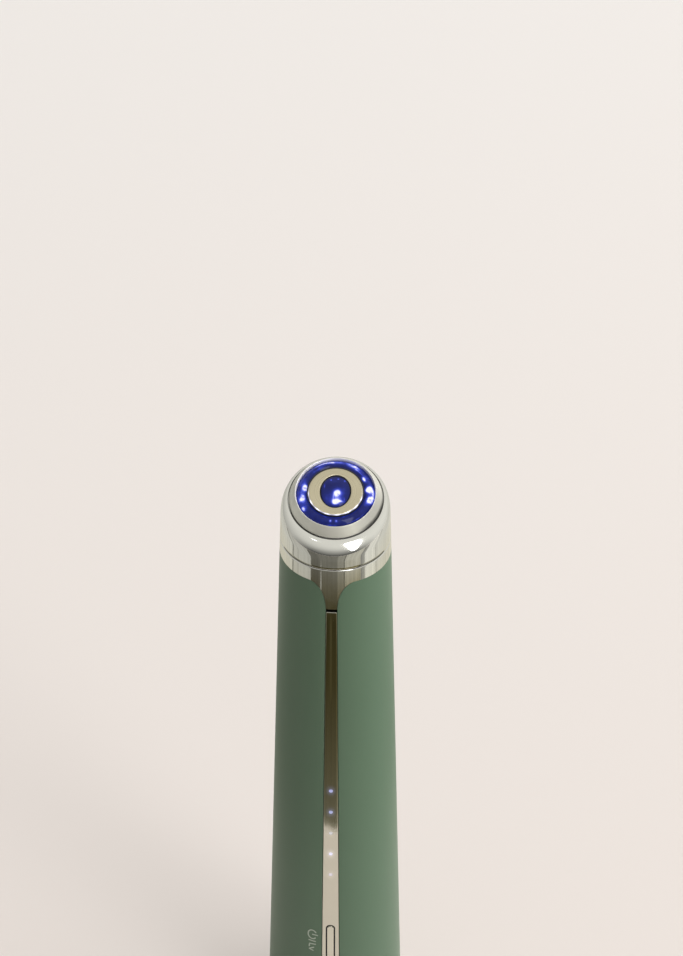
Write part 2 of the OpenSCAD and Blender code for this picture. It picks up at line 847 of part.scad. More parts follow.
module head_flex() {
    start_z = face_z + connector_y * sin(face_tilt) + (head_board_low - connector_h) * cos(face_tilt);
    start_y = connector_y * cos(face_tilt) - (head_board_low - connector_h) * sin(face_tilt);
    finish = front_point(board_back + connector_h / 2, board_top - 0.7);
    color(amber_c) ribbon([[start_y, start_z - 0.1], [start_y - 0.6, start_z - 3],
        [start_y - 2.5, start_z - 9], [finish.x + 2.2, finish.y + 12], [finish.x + 0.5, finish.y + 5],
        finish], 6);
}

module battery() {
    color(cell_c) translate([0, battery_y, battery_low]) {
        cylinder(h = battery_l - 0.6, r = battery_r);
        cylinder(h = battery_l, r = battery_r * 0.35);
    }
}

module battery_tabs() {
    color(steel_c) for (z = [battery_low - 0.2, battery_low + battery_l])
        translate([-2.5, battery_y - battery_r + 0.5, z]) cube([5, battery_r + 1, 0.2]);
}

module battery_pads() {
    color(rubber_c) for (z = pad_z) difference() {
        front_at(z) through(board_back, board_back + 9) square([pad_w, 10], center = true);
        translate([0, battery_y, 0]) cylinder(h = seam_z, r = battery_r + seat);
        translate([-base_r, battery_y - battery_r * 0.85, 0]) cube([base_d, base_d, seam_z]);
    }
}

module base_ring() {
    bevel = 0.6;
    low = cap_low - 0.3;
    inner = body_r(frame_low) - frame_in - frame_wall;
    outer = body_r(frame_low) - frame_in;
    top = base_band - strip_gap;
    color(chrome_c) turned([[ring_bore_r, low], [body_r(low) - bevel, low],
        [body_r(low + bevel), low + bevel], [body_r(top), top], [outer, top], [outer, frame_low],
        [inner, frame_low], [inner, cap_top], [ring_bore_r, cap_top]]);
}

module base_cap() {
    color(black_c) difference() {
        union() {
            translate([0, 0, cap_low]) cylinder(h = cap_t, r = cap_r);
            for (side = [-1, 1]) translate([side * post_x, 0, cap_top])
                cylinder(h = port_top - cap_top, r = post_r);
        }
        tube(foot_r, foot_r - foot_w, cap_low - over, cap_low + foot_sink);
        translate([0, 0, cap_low - over]) linear_extrude(cap_t + 2 * over)
            rotate([0, 0, 90]) pill(port_h + 2 * slip, port_w + 2 * slip);
        for (side = [-1, 1]) translate([0, side * base_screw_y, cap_low - over]) {
            cylinder(h = over + base_screw_sink, r = 2.1);
            cylinder(h = cap_t + 2 * over, r = 1.1);
        }
    }
}

module foot_ring() {
    color(rubber_c) tube(foot_r - seat, foot_r - foot_w + seat, 0, cap_low + foot_sink);
}

module charge_port() {
    color(steel_c) translate([0, 0, port_low]) difference() {
        linear_extrude(port_top - port_low) rotate([0, 0, 90]) pill(port_h, port_w);
        translate([0, 0, -over]) linear_extrude(port_l + over)
            rotate([0, 0, 90]) pill(port_h - 2 * port_wall, port_w - 2 * port_wall);
    }
}

module port_tongue() {
    color(black_c) translate([-3.35, -0.35, port_low + 0.9]) cube([6.7, 0.7, port_l - 0.9]);
}

module charge_board() {
    color(board_c) translate([-9.5, -5.5, port_top]) cube([19, 11, board_t]);
}

module charge_flex() {
    finish = front_point(board_back + 0.2, board_low + 3);
    start_z = port_top + board_t;
    flex_w = 3.6;
    color(amber_c) translate([(pad_w + flex_w) / 2 + 0.1, 0, 0]) ribbon([[-5, start_z + 0.05], [-5.2, start_z + 2],
        [(finish.x - 5) / 2, (finish.y + start_z) / 2], [finish.x + 0.1, finish.y - 3], finish], flex_w);
}

module base_screws() {
    color(steel_c) for (side = [-1, 1]) translate([0, side * base_screw_y, cap_low + base_screw_sink])
        screw(1, frame_low + base_boss_h - cap_low - 2, 1.9, 1.2);
}

head_cap();
face_bezel();
light_ring();
electrode_ring();
centre_lens();
lens_gasket();
electrode_carrier();
head_board();
ring_lamps();
centre_lamp();
temperature_sensor();
contact_pins();
bezel_screws();
head_connector();
head_seal();
collar();
body_sleeve();
trim_strip();
level_lights();
light_holder();
level_lamps();
power_button();
switch_plunger();
button_switch();
front_frame();
rear_frame();
frame_screws();
main_board();
board_screws();
control_chips();
transformer_core();
transformer_coil();
capacitors();
board_connector();
head_flex();
battery();
battery_tabs();
battery_pads();
base_ring();
base_cap();
foot_ring();
charge_port();
port_tongue();
charge_board();
charge_flex();
base_screws();
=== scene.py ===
# %% [markdown]
# # A hand-held radio-frequency facial wand
#
# The real object stands upright on its base. A soft-touch green body tapers towards the top, where a
# polished head carries a treatment face that leans to the front. A narrow metal strip runs down the front,
# with five level lights and one long power button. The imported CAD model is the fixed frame: each piece made
# here takes the place of one CAD node, or dresses it with a better material, in the same coordinates.

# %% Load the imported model
import math
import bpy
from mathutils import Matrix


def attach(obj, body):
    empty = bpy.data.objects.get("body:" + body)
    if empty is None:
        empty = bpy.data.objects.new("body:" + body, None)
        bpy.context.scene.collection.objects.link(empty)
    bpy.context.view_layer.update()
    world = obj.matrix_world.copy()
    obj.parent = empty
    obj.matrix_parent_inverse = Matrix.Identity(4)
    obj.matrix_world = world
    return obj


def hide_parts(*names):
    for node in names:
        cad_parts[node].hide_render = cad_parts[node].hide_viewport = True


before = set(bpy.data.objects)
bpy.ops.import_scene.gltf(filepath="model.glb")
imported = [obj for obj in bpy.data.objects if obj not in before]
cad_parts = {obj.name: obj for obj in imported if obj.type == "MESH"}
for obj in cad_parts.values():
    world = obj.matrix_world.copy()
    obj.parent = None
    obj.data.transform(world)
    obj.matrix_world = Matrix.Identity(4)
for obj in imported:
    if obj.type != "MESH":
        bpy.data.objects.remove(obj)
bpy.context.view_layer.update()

import bmesh
import bpy
import numpy as np
from mathutils import Quaternion, Vector

MM = 0.001

# %% [markdown]
# ## The sizes that the pieces share
#
# The body is a cone, so its radius is a straight line of height. Two small frames of their own save much
# trigonometry later: one lies on the tilted treatment face, the other on the cone's front line, where the
# strip and the button sit. Both take whole arrays of points and give them back in the object's frame.

# %% Body cone, face frame and front frame
BASE_R, SEAM_R, SEAM_Z = 21.5, 16.4, 195.0
FLANK = math.atan((BASE_R - SEAM_R) / SEAM_Z)
FACE_Z, TILT = 211.0, math.radians(18)
# The bezel's flat lip passes into its slope between these distances from the face's axis.
LIP_FADE = 11.86, 11.96
# The photograph is taken from this many degrees to the right of straight ahead.
CAMERA_BEARING = 4.0


def body_r(z):
    """The cone's radius falls in a straight line from the floor to the seam."""
    return BASE_R - (BASE_R - SEAM_R) / SEAM_Z * z


def joined(*parts):
    """Puts coordinates or colour channels side by side. A single number serves for every point."""
    return np.stack(np.broadcast_arrays(*parts), axis=-1)


def whole_turn(count):
    """Evenly spaced angles once round, in radians."""
    return np.linspace(0, 2 * np.pi, count, endpoint=False)


def turned_x(points, angle, origin):
    """Turns points about the X axis, then moves them: y and z mix by the angle's cosine and sine."""
    x, y, z = np.moveaxis(np.asarray(points, float), -1, 0)
    c, s = math.cos(angle), math.sin(angle)
    return joined(x + origin[0], y * c - z * s + origin[1], y * s + z * c + origin[2])


def on_face(points):
    """X across the face, Y to its back edge, Z straight out of it."""
    return turned_x(points, TILT, (0, 0, FACE_Z))


def on_front(points):
    """X across the strip, Y inwards from its surface, Z up along the front line."""
    return turned_x(points, -FLANK, (0, -BASE_R, 0))


def upright(points):
    """The object's own frame, in which points stay as they are."""
    return np.asarray(points, float)


print("cone flank in degrees", round(math.degrees(FLANK), 3))

# %% [markdown]
# ## From a grid of numbers to a mesh
#
# Every new piece is a surface over a grid of two parameters. The helper below joins neighbouring points by
# quads. A ring closes the columns, as round a lathe, and a loop closes the rows, as round a profile. Points
# that coincide become one, which closes seams and poles, and quads that lost a side become triangles. The
# mesh is then checked: every edge has two faces, and the enclosed volume is positive, so faces look out.

# %% Grids, profiles and the mesh maker
def weave(grid, ring=False, loop=False):
    """Point numbers of the four corners of each cell of the grid, wrapped round where it closes."""
    rows, columns = grid.shape[:2]
    index = np.arange(rows * columns).reshape(rows, columns)
    if ring:
        index = np.concatenate([index, index[:, :1]], axis=1)
    if loop:
        index = np.concatenate([index, index[:1]], axis=0)
    corners = [index[:-1, :-1], index[:-1, 1:], index[1:, 1:], index[1:, :-1]]
    return grid.reshape(-1, 3), np.stack(corners, axis=-1).reshape(-1, 4)


def thick_sheet(outer, inner, ring=False):
    """Outer and inner skins of the same grid, with strips between their edges."""
    patches = [weave(outer, ring), weave(inner, ring)]
    for row in (0, -1):
        patches.append(weave(np.stack([outer[row], inner[row]]), ring))
    if not ring:
        for column in (0, -1):
            patches.append(weave(np.stack([outer[:, column], inner[:, column]])))
    return patches


def rounded(corners, steps=4):
    """A closed outline whose corners are eased by quadratic curves. A corner is x, y and length of ease."""
    points = []
    for i, (x, y, ease) in enumerate(corners):
        here = np.array([x, y], float)
        arms = [np.array(corners[j][:2], float) - here for j in (i - 1, (i + 1) % len(corners))]
        start, end = [here + arm / np.linalg.norm(arm) * ease for arm in arms]
        s = np.linspace(0, 1, steps + 1 if ease else 1)[:, None]
        points.append((1 - s) ** 2 * start + 2 * s * (1 - s) * here + s**2 * end)
    return np.concatenate(points)


def lathe(profile, sides=192, place=upright):
    """Each point of the profile, a radius and a height, goes round the Z axis of its frame."""
    angle, profile = whole_turn(sides), np.asarray(profile, float)
    r, z = profile[:, :1], profile[:, 1:]
    return weave(place(joined(r * np.cos(angle), r * np.sin(angle), z)), ring=True, loop=True)


def tidy_faces(quads):
    """Splits quads into whole ones and those that lost one side, which become triangles."""
    same = quads == np.roll(quads, -1, axis=1)
    lost = same.sum(axis=1)
    whole, cut = quads[lost == 0], quads[lost == 1]
    return whole, cut[~same[lost == 1]].reshape(-1, 3)


def make_mesh(name, patches, fields=None):
    """One mesh from patches in millimetres. Fields are values per point, kept as mesh attributes."""
    starts = np.cumsum([0] + [len(points) for points, _ in patches])
    points = np.concatenate([points for points, _ in patches])
    quads = np.concatenate([cells + start for (_, cells), start in zip(patches, starts)])
    _, first, merged = np.unique(np.round(points * 1e4).astype(np.int64), axis=0,
                                 return_index=True, return_inverse=True)
    whole, cut = tidy_faces(merged.reshape(-1)[quads])
    mesh = bpy.data.meshes.new(name)
    mesh.from_pydata((points[first] * MM).tolist(), [], whole.tolist() + cut.tolist())
    for key, values in (fields or {}).items():
        values = np.asarray(values, np.float32).reshape(len(points), -1)[first]
        kind = "FLOAT" if values.shape[1] == 1 else "FLOAT_COLOR"
        target = mesh.attributes.new(key, kind, "POINT")
        target.data.foreach_set("value" if kind == "FLOAT" else "color", values.ravel())
    return mesh


def close_check(mesh):
    """Turns the faces outwards, then counts open edges and works out the enclosed volume in cubic mm."""
    work = bmesh.new()
    work.from_mesh(mesh)
    bmesh.ops.recalc_face_normals(work, faces=work.faces)
    volume = work.calc_volume(signed=True)
    if volume < 0:
        bmesh.ops.reverse_faces(work, faces=work.faces)
    open_edges = sum(not edge.is_manifold for edge in work.edges)
    work.to_mesh(mesh)
    work.free()
    return open_edges, abs(volume) * 1e9


print("mesh helpers ready")

# %% [markdown]
# ## Setting a piece in place
#
# A piece rides on a CAD body, hides the node that it replaces, and wears the material that it is given.
# Smooth shading with sharp edges kept by angle suits machined and moulded parts. The weighted normals let
# large faces keep their direction right up to a small rounding, as on real polished metal.

# %% The piece maker
def linked(name, data):
    """A new object in the scene, made of a mesh, a lamp or a camera."""
    thing = bpy.data.objects.new(name, data)
    bpy.context.scene.collection.objects.link(thing)
    return thing


def set_piece(name, patches, node, material, body="wand", sharp=32, bevel=0.0, fields=None):
    """Makes and checks the mesh, shades it, and sets it on its CAD body in place of its node."""
    mesh = make_mesh(name, patches, fields)
    open_edges, volume = close_check(mesh)
    mesh.shade_smooth()
    mesh.set_sharp_from_angle(angle=math.radians(sharp))
    piece = linked(name, mesh)
    mesh.materials.append(material)
    if bevel:
        edge = piece.modifiers.new("eased edges", "BEVEL")
        edge.width, edge.segments, edge.limit_method = bevel * MM, 2, "ANGLE"
        edge.angle_limit = math.radians(50)
        edge.use_clamp_overlap = True
    normals = piece.modifiers.new("flat faces stay flat", "WEIGHTED_NORMAL")
    normals.keep_sharp = True
    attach(piece, body)
    if node:
        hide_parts(node)
    print(f"{name}: {len(mesh.polygons)} faces, {open_edges} open edges, {volume:.1f} mm3")


# %% [markdown]
# ## Building materials from nodes
#
# A finish is a Principled shader whose colour, roughness and bump come from noise on Object coordinates, so
# a mark keeps its place on the piece from every side. Colours are written as linear values, which the
# renderer works with, so the numbers are lower than the same colours have on a screen.

# %% Material helpers
def add(tree, kind, inputs=(), **settings):
    """Adds a shader node and fills its inputs, each with a number or with another node's output."""
    node = tree.nodes.new("ShaderNode" + kind)
    for key, value in settings.items():
        setattr(node, key, value)
    for key, value in dict(inputs).items():
        if isinstance(value, bpy.types.NodeSocket):
            tree.links.new(value, node.inputs[key])
        else:
            node.inputs[key].default_value = value
    return node


def start_finish(name):
    """A new material, its node tree and its Principled shader."""
    material = bpy.data.materials.new(name)
    material.use_nodes = True
    tree = material.node_tree
    return material, tree, tree.nodes["Principled BSDF"]


def place_node(tree, kind="Object"):
    return add(tree, "TexCoord").outputs[kind]


def noise(tree, per_mm, detail=3.0, stretch=(1, 1, 1)):
    """Noise with about per_mm marks in a millimetre, drawn out where a stretch is below 1."""
    scaled = add(tree, "VectorMath", {0: place_node(tree), 1: stretch}, operation="MULTIPLY")
    return add(tree, "TexNoise",
               {"Vector": scaled.outputs[0], "Scale": per_mm / MM, "Detail": detail}).outputs["Fac"]


def mix(tree, factor, first, second):
    """The first colour where the factor is 0, the second where it is 1."""
    node = add(tree, "Mix", data_type="RGBA")
    for key, value in (("Factor_Float", factor), ("A_Color", first), ("B_Color", second)):
        socket = next(s for s in node.inputs if s.identifier == key)
        if isinstance(value, bpy.types.NodeSocket):
            tree.links.new(value, socket)
        else:
            socket.default_value = value
    return next(s for s in node.outputs if s.identifier == "Result_Color")


def ranged(tree, value, low, high, to_low, to_high):
    """The value moved from one range to another in a straight line, and held at the ends."""
    inputs = {"Value": value, "From Min": low, "From Max": high, "To Min": to_low, "To Max": to_high}
    return add(tree, "MapRange", inputs).outputs["Result"]


def maths(tree, operation, first, second=0.0):
    return add(tree, "Math", {0: first, 1: second}, operation=operation).outputs[0]


def carried(tree, key, kind="Fac"):
    """The value that each point of the mesh carries under this name."""
    return add(tree, "Attribute", attribute_name=key).outputs[kind]


def give_off(tree, shader, colour):
    """The surface shines with this colour by itself."""
    tree.links.new(colour, shader.inputs["Emission Color"])
    shader.inputs["Emission Strength"].default_value = 1.0


def bump(tree, shader, height, distance):
    """Relief of a height in millimetres, as the shader's normal."""
    node = add(tree, "Bump", {"Height": height, "Distance": distance * MM, "Strength": 1.0})
    tree.links.new(node.outputs["Normal"], shader.inputs["Normal"])


def finish(name, colour, rough, metal=0.0, spread=0.12, cloud=0.15, grain=4.0, relief=0.01,
           rough_spread=0.06, stretch=(1, 1, 1)):
    """A general finish: clouds shade the colour, a finer grain varies the gloss and gives the relief."""
    material, tree, shader = start_finish(name)
    dark = tuple(c * (1 - spread) for c in colour[:3]) + (1.0,)
    pale = tuple(min(1.0, c * (1 + spread)) for c in colour[:3]) + (1.0,)
    tint = mix(tree, noise(tree, cloud), dark, pale)
    tree.links.new(tint, shader.inputs["Base Color"])
    fine = noise(tree, grain, 4.0, stretch)
    gloss = ranged(tree, fine, 0.3, 0.7, max(0.02, rough - rough_spread), rough + rough_spread)
    tree.links.new(gloss, shader.inputs["Roughness"])
    bump(tree, shader, fine, relief)
    shader.inputs["Metallic"].default_value = metal
    return material, tree, shader


print("material helpers ready")

# %% [markdown]
# ## The polished and satin metals
#
# Polished metal is only as interesting as what it mirrors, so its own detail is slight: a warm tint, faint
# smudges that dull it in places, and hair-fine wiping marks. The bezel and the electrode have a satin
# champagne finish, turned on a lathe, so their marks run in rings about the face's own axis.

# %% Chrome and strip metal
def with_painted_shade(name, *values, **settings):
    """A metal painted black where its painted shade attribute is 1: painted shade in deep narrow gaps and
    creases.
    """
    material, tree, shader = finish(name, *values, metal=1.0, **settings)
    gap = carried(tree, "painted_shade")
    metal = shader.inputs["Base Color"].links[0].from_socket
    tree.links.new(mix(tree, gap, metal, (0.004, 0.004, 0.003, 1)), shader.inputs["Base Color"])
    tree.links.new(maths(tree, "SUBTRACT", 1.0, gap), shader.inputs["Metallic"])
    return material, tree, shader


chrome = with_painted_shade("warm chrome", (0.80, 0.80, 0.755, 1), 0.075, spread=0.03, cloud=0.12, grain=0.35,
                        relief=0.0012, rough_spread=0.03)[0]
strip_metal, tree, shader = with_painted_shade(
    "polished strip", (0.63, 0.62, 0.54, 1), 0.06, spread=0.04, cloud=0.1, grain=1.2, relief=0.0012,
    rough_spread=0.025, stretch=(6, 6, 0.12))
# The strip gives off the painted glow of the level lights round each window.
give_off(tree, shader, carried(tree, "halo", "Color"))
key_metal = with_painted_shade("polished key", (0.66, 0.65, 0.56, 1), 0.08, spread=0.04, cloud=0.2, grain=1.5,
                           relief=0.001, rough_spread=0.03, stretch=(4, 4, 0.3))[0]


def face_rings(tree):
    """Distance from the face's axis: the point is moved to the face centre and turned back by the tilt."""
    inputs = {"Vector": place_node(tree), "Location": (0, 0, -FACE_Z * MM)}
    moved = add(tree, "Mapping", inputs, vector_type="POINT")
    turned = add(tree, "Mapping", {"Vector": moved.outputs[0], "Rotation": (-TILT, 0, 0)})
    parts = add(tree, "SeparateXYZ", {0: turned.outputs[0]})
    square = maths(tree, "ADD", maths(tree, "MULTIPLY", parts.outputs["X"], parts.outputs["X"]),
                   maths(tree, "MULTIPLY", parts.outputs["Y"], parts.outputs["Y"]))
    return maths(tree, "SQRT", square), parts


def turned_satin(name, colour, rough, ring_relief):
    """Satin metal from a lathe: rings of noise by distance from the axis shade it and give the relief."""
    material, tree, shader = start_finish(name)
    distance, parts = face_rings(tree)
    flat = add(tree, "CombineXYZ", {"X": distance, "Z": parts.outputs["Z"]}).outputs[0]
    rings = add(tree, "TexNoise", {"Vector": flat, "Scale": 9 / MM, "Detail": 4.0}).outputs["Fac"]
    cloud = noise(tree, 0.25)
    dark = tuple(c * 0.93 for c in colour) + (1.0,)
    tree.links.new(mix(tree, maths(tree, "MULTIPLY", rings, cloud), dark, (*colour, 1.0)),
                   shader.inputs["Base Color"])
    tree.links.new(ranged(tree, rings, 0.3, 0.7, rough - 0.05, rough + 0.05), shader.inputs["Roughness"])
    bump(tree, shader, rings, ring_relief)
    shader.inputs["Metallic"].default_value = 1.0
    shader.inputs["Anisotropic"].default_value = 0.3
    return material, tree, shader, distance


bezel_satin, tree, shader, distance = turned_satin("champagne satin bezel", (0.84, 0.845, 0.77), 0.36,
                                                   0.0012)
off_lip = ranged(tree, distance, LIP_FADE[0] * MM, LIP_FADE[1] * MM, 0.0, 1.0)
tree.links.new(ranged(tree, off_lip, 0.0, 1.0, 0.25, 0.62), shader.inputs["Metallic"])
metal = shader.inputs["Base Color"].links[0].from_socket
pearl = mix(tree, off_lip, (0.86, 0.85, 0.83, 1), metal)
# The bezel is painted black where its painted shade attribute says: in the crease, and where the slope would
# mirror the dark side of the room.
tree.links.new(mix(tree, carried(tree, "painted_shade"), pearl, (0.01, 0.01, 0.01, 1)),
               shader.inputs["Base Color"])

electrode_satin, tree, shader, _ = turned_satin("champagne satin electrode", (0.66, 0.60, 0.43), 0.3, 0.002)
# The electrode gives off its painted reflections as light.
give_off(tree, shader, carried(tree, "shine", "Color"))
print("metals:", chrome.name, strip_metal.name, key_metal.name, bezel_satin.name, electrode_satin.name)

# %% [markdown]
# ## The soft-touch green
#
# The body is moulded plastic with a rubbery coat. Up close it has a very fine, even grain and no sparkle.
# It turns paler where it is seen at a slant, which a little sheen gives.

# %% Soft-touch coat
soft_green, tree, shader = finish("soft-touch green", (0.070, 0.126, 0.077, 1), 0.5, spread=0.05, cloud=0.03,
                                  grain=9.0, relief=0.006, rough_spread=0.05)
shader.inputs["Sheen Weight"].default_value = 0.26
shader.inputs["Sheen Roughness"].default_value = 0.35
shader.inputs["Sheen Tint"].default_value = (0.82, 0.92, 0.80, 1)
print("soft-touch coat ready")

# %% [markdown]
# ## Blacks, boards and everything inside
#
# The inner parts show only where a gap lets a glance in, or when the wand is taken apart, but each still
# gets its own finish: fine-grained black plastic, solder-masked boards with fine tracks, wound copper,
# shrink film on the cell, steel screws.

# %% Inner finishes, and the CAD nodes that wear them
# A row is the finish's name, colour, roughness and other settings, and the nodes.
INNER = [
    ("black plastic", (0.012, 0.012, 0.013, 1), 0.45, dict(grain=6.0, relief=0.006),
     "electrode_carrier light_holder switch_plunger front_frame rear_frame base_cap port_tongue"),
    ("black rubber", (0.010, 0.010, 0.011, 1), 0.7, dict(grain=5.0, relief=0.01), "head_seal"),
    ("grey foot rubber", (0.028, 0.030, 0.028, 1), 0.75, dict(grain=4.0, relief=0.02), ""),
    ("white housing plastic", (0.76, 0.75, 0.70, 1), 0.4, dict(spread=0.04, grain=5.0),
     "head_connector board_connector"),
    ("lamp ceramic", (0.80, 0.78, 0.66, 1), 0.35, dict(spread=0.06, grain=8.0, relief=0.004),
     "ring_lamps centre_lamp level_lamps"),
    ("chip epoxy", (0.016, 0.016, 0.018, 1), 0.55, dict(grain=12.0, relief=0.006), "control_chips"),
    ("ferrite", (0.030, 0.029, 0.028, 1), 0.5, dict(grain=3.0, relief=0.02), "transformer_core"),
    ("screw steel", (0.56, 0.57, 0.58, 1), 0.24, dict(metal=1.0, grain=5.0, relief=0.004),
     "bezel_screws frame_screws board_screws base_screws button_switch"),
    ("socket steel", (0.62, 0.62, 0.60, 1), 0.2,
     dict(metal=1.0, grain=5.0, relief=0.003, stretch=(1, 1, 0.1)), "charge_port"),
    ("nickel strip", (0.58, 0.55, 0.48, 1), 0.28,
     dict(metal=1.0, grain=4.0, relief=0.004, stretch=(0.1, 1, 1)), "battery_tabs"),
    ("contact brass", (0.78, 0.57, 0.27, 1), 0.22, dict(metal=1.0, grain=6.0, relief=0.003), "contact_pins"),
    ("can aluminium", (0.70, 0.71, 0.72, 1), 0.25,
     dict(metal=1.0, grain=3.0, relief=0.004, stretch=(1, 0.1, 1)), "capacitors"),
    ("cell shrink film", (0.045, 0.13, 0.26, 1), 0.28, dict(spread=0.1, cloud=0.08, grain=0.6, relief=0.03),
     "battery"),
    ("grey foam", (0.05, 0.05, 0.05, 1), 0.9, dict(grain=2.5, relief=0.12), "battery_pads"),
    ("amber film", (0.40, 0.17, 0.025, 1), 0.3, dict(cloud=0.3, grain=5.0, relief=0.004),
     "temperature_sensor head_flex charge_flex"),
    ("board solder mask", (0.010, 0.085, 0.040, 1), 0.3, dict(grain=5.0, relief=0.004),
     "head_board main_board charge_board"),
    ("enamelled copper", (0.55, 0.22, 0.08, 1), 0.3, dict(metal=1.0, grain=6.0), "transformer_coil"),
]
inner = {}
for name, colour, rough, settings, nodes in INNER:
    inner[name] = finish(name, colour, rough, **settings)
    for node in nodes.split():
        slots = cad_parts[node].data.materials
        slots.clear()
        slots.append(inner[name][0])
black_rubber, foot_rubber = inner["black rubber"][0], inner["grey foot rubber"][0]
print("dressed", sum(len(row[-1].split()) for row in INNER), "CAD nodes")

# %% Tracks on the boards and turns on the coil
_, tree, shader = inner["board solder mask"]
tracks = add(tree, "TexBrick", {"Vector": place_node(tree), "Color1": (0.010, 0.085, 0.040, 1),
             "Color2": (0.008, 0.068, 0.032, 1), "Mortar": (0.030, 0.16, 0.075, 1), "Scale": 1 / MM,
             "Mortar Size": 0.10, "Brick Width": 3.2, "Row Height": 0.9}).outputs["Color"]
tree.links.new(tracks, shader.inputs["Base Color"])
_, tree, shader = inner["enamelled copper"]
turns = add(tree, "TexWave", {"Vector": place_node(tree), "Scale": 0.6 / MM, "Distortion": 0.3},
            bands_direction="Y").outputs["Fac"]
bump(tree, shader, turns, 0.25)
print("inner finishes ready")

# %% [markdown]
# ## The head cap
#
# The cap follows the round body at the seam and the tilted crease at the top. Each column of the grid is one
# bearing round the head: it climbs the wall, bends over the shoulder on a quadratic curve and ends in the
# crease's plane. Then it runs back down inside, through the bore to the spigot, so the shell is closed.
#
# The crease's dark line is painted shade, darkest at the front and the right. Its shade is given at a few
# bearings, in degrees from the wand's right, where the front is at minus 90, and joined by straight lines.

# %% Cap skin
CREASE_R, CREASE_LOW, SHOULDER_H = 14.16, -3.62, 3.4
HEAD_BORE_R, HEAD_SEAT_R, HEAD_SIDES = 13.1, 12.45, 240
SPIGOT_LOW, SPIGOT_R = 190.6, 14.4
GROOVE_LOW, GROOVE_TOP, GROOVE_R = 192.25, 193.55, 13.25


def ring_at(r, z, bearing):
    """A level circle, at bearings that are measured from the wand's right."""
    return joined(r * np.cos(bearing), r * np.sin(bearing), z)


def cap_column(bearing):
    """Wall point, corner and crease point of each bearing, and the quadratic curve between them."""
    sine = np.sin(bearing)
    corner_z = FACE_Z + (body_r(SEAM_Z + 8) * sine * math.sin(TILT) + CREASE_LOW) / math.cos(TILT)
    foot = ring_at(body_r(corner_z - SHOULDER_H), corner_z - SHOULDER_H, bearing)
    corner = ring_at(body_r(corner_z), corner_z, bearing)
    crease = on_face(ring_at(CREASE_R, CREASE_LOW, bearing))
    s = np.linspace(0, 1, 17)[:, None, None]
    return (1 - s) ** 2 * foot + 2 * s * (1 - s) * corner + s**2 * crease, foot


bearing = whole_turn(HEAD_SIDES)
shoulder, wall_top = cap_column(bearing)
edge_ring = ring_at(body_r(SEAM_Z + 0.16), SEAM_Z + 0.16, bearing)
wall = edge_ring + (wall_top - edge_ring) * np.linspace(0, 1, 7)[:-1, None, None]
spigot = rounded([(HEAD_BORE_R, SPIGOT_LOW, 0.15), (SPIGOT_R, SPIGOT_LOW, 0.3), (SPIGOT_R, GROOVE_LOW, 0.05),
                  (GROOVE_R, GROOVE_LOW, 0.1), (GROOVE_R, GROOVE_TOP, 0.1), (SPIGOT_R, GROOVE_TOP, 0.05),
                  (SPIGOT_R, SEAM_Z, 0.0)], 3)[2:]
spigot_rows = np.stack([ring_at(r, z, bearing) for r, z in spigot])
seam_rows = np.stack([ring_at(body_r(SEAM_Z) - 0.16, SEAM_Z, bearing),
                      ring_at(body_r(SEAM_Z) - 0.05, SEAM_Z + 0.04, bearing)])
bore = np.stack([on_face(ring_at(r, a, bearing)) for r, a in
                 [(CREASE_R - 0.06, -3.68), (CREASE_R - 0.09, -3.8), (CREASE_R - 0.09, -4.35),
                  (HEAD_BORE_R, -4.35), (HEAD_BORE_R, -5.25), (HEAD_SEAT_R, -5.25), (HEAD_SEAT_R, -9.5)]])
hall = np.stack([ring_at(HEAD_BORE_R, z, bearing) for z in (197.2, 190.75)])
cap_grid = np.concatenate([spigot_rows, seam_rows, wall, shoulder, bore, hall])
# Painted shade: the spigot and the seam's first row are painted black, so the seam shows as a dark line, and
# the crease's bore takes the crease's painted shade by bearing.
cap_painted_shade = np.zeros(cap_grid.shape[:2])
cap_painted_shade[:len(spigot_rows) + 1] = 1
around = (np.degrees(bearing) + 180) % 360 - 180
crease_painted_shade = np.interp(around, [-180, -150, -115, 0, 60, 120, 180], [0.35, 0.4, 0.6, 0.6, 0.45, 0.3, 0.35])
cap_painted_shade[-len(bore) - len(hall):] = crease_painted_shade
set_piece("head_cap_shell", [weave(cap_grid, ring=True, loop=True)], "head_cap", chrome,
          fields={"painted_shade": cap_painted_shade})

# %% [markdown]
# ## The bezel
#
# The bezel is a turned ring: a flat lip round the light ring, then a slope with a slight belly down to the
# crease. A lathe suits it, because every section through the face's axis is the same. Its sides stand at the
# cap's bearings, so its painted shade is given in the same way: painted shade on the foot in the crease,
# painted dark reflections on the parts of the slope that would mirror the dark side of the room, and a darker
# painted patch where slope and crease meet at the front right.

# %% Bezel profile on the lathe
belly = np.linspace(0, 1, 15)[1:]
slope = joined(11.95 + 1.7 * belly + 0.2 * np.sin(np.pi * belly), -2.95 * belly)
edge = np.linspace(0, np.pi / 2, 7)
roll = joined(13.4 + 0.36 * np.cos(edge), -3.3 - 0.3 * np.sin(edge))
lip = rounded([(11.6, -2.5, 0), (11.6, -0.55, 0.3), (11.82, 0, 0.12), (11.95, 0, 0.1),
               (13.65, -2.95, 0)])[:-1]
tail = rounded([(13.4, -4.15, 0.05), (13.05, -4.15, 0), (13.05, -5.2, 0.1), (12.4, -5.2, 0),
                (12.4, -6.4, 0.1), (10.6, -6.4, 0.1), (10.6, -2.5, 0)], 3)
slope = np.concatenate([slope, roll])
bezel_profile = np.concatenate([lip, slope, tail])
radius, height = bezel_profile[:, :1], bezel_profile[:, 1:]
SLOPE_END, GAP_START = -3.7, -3.4
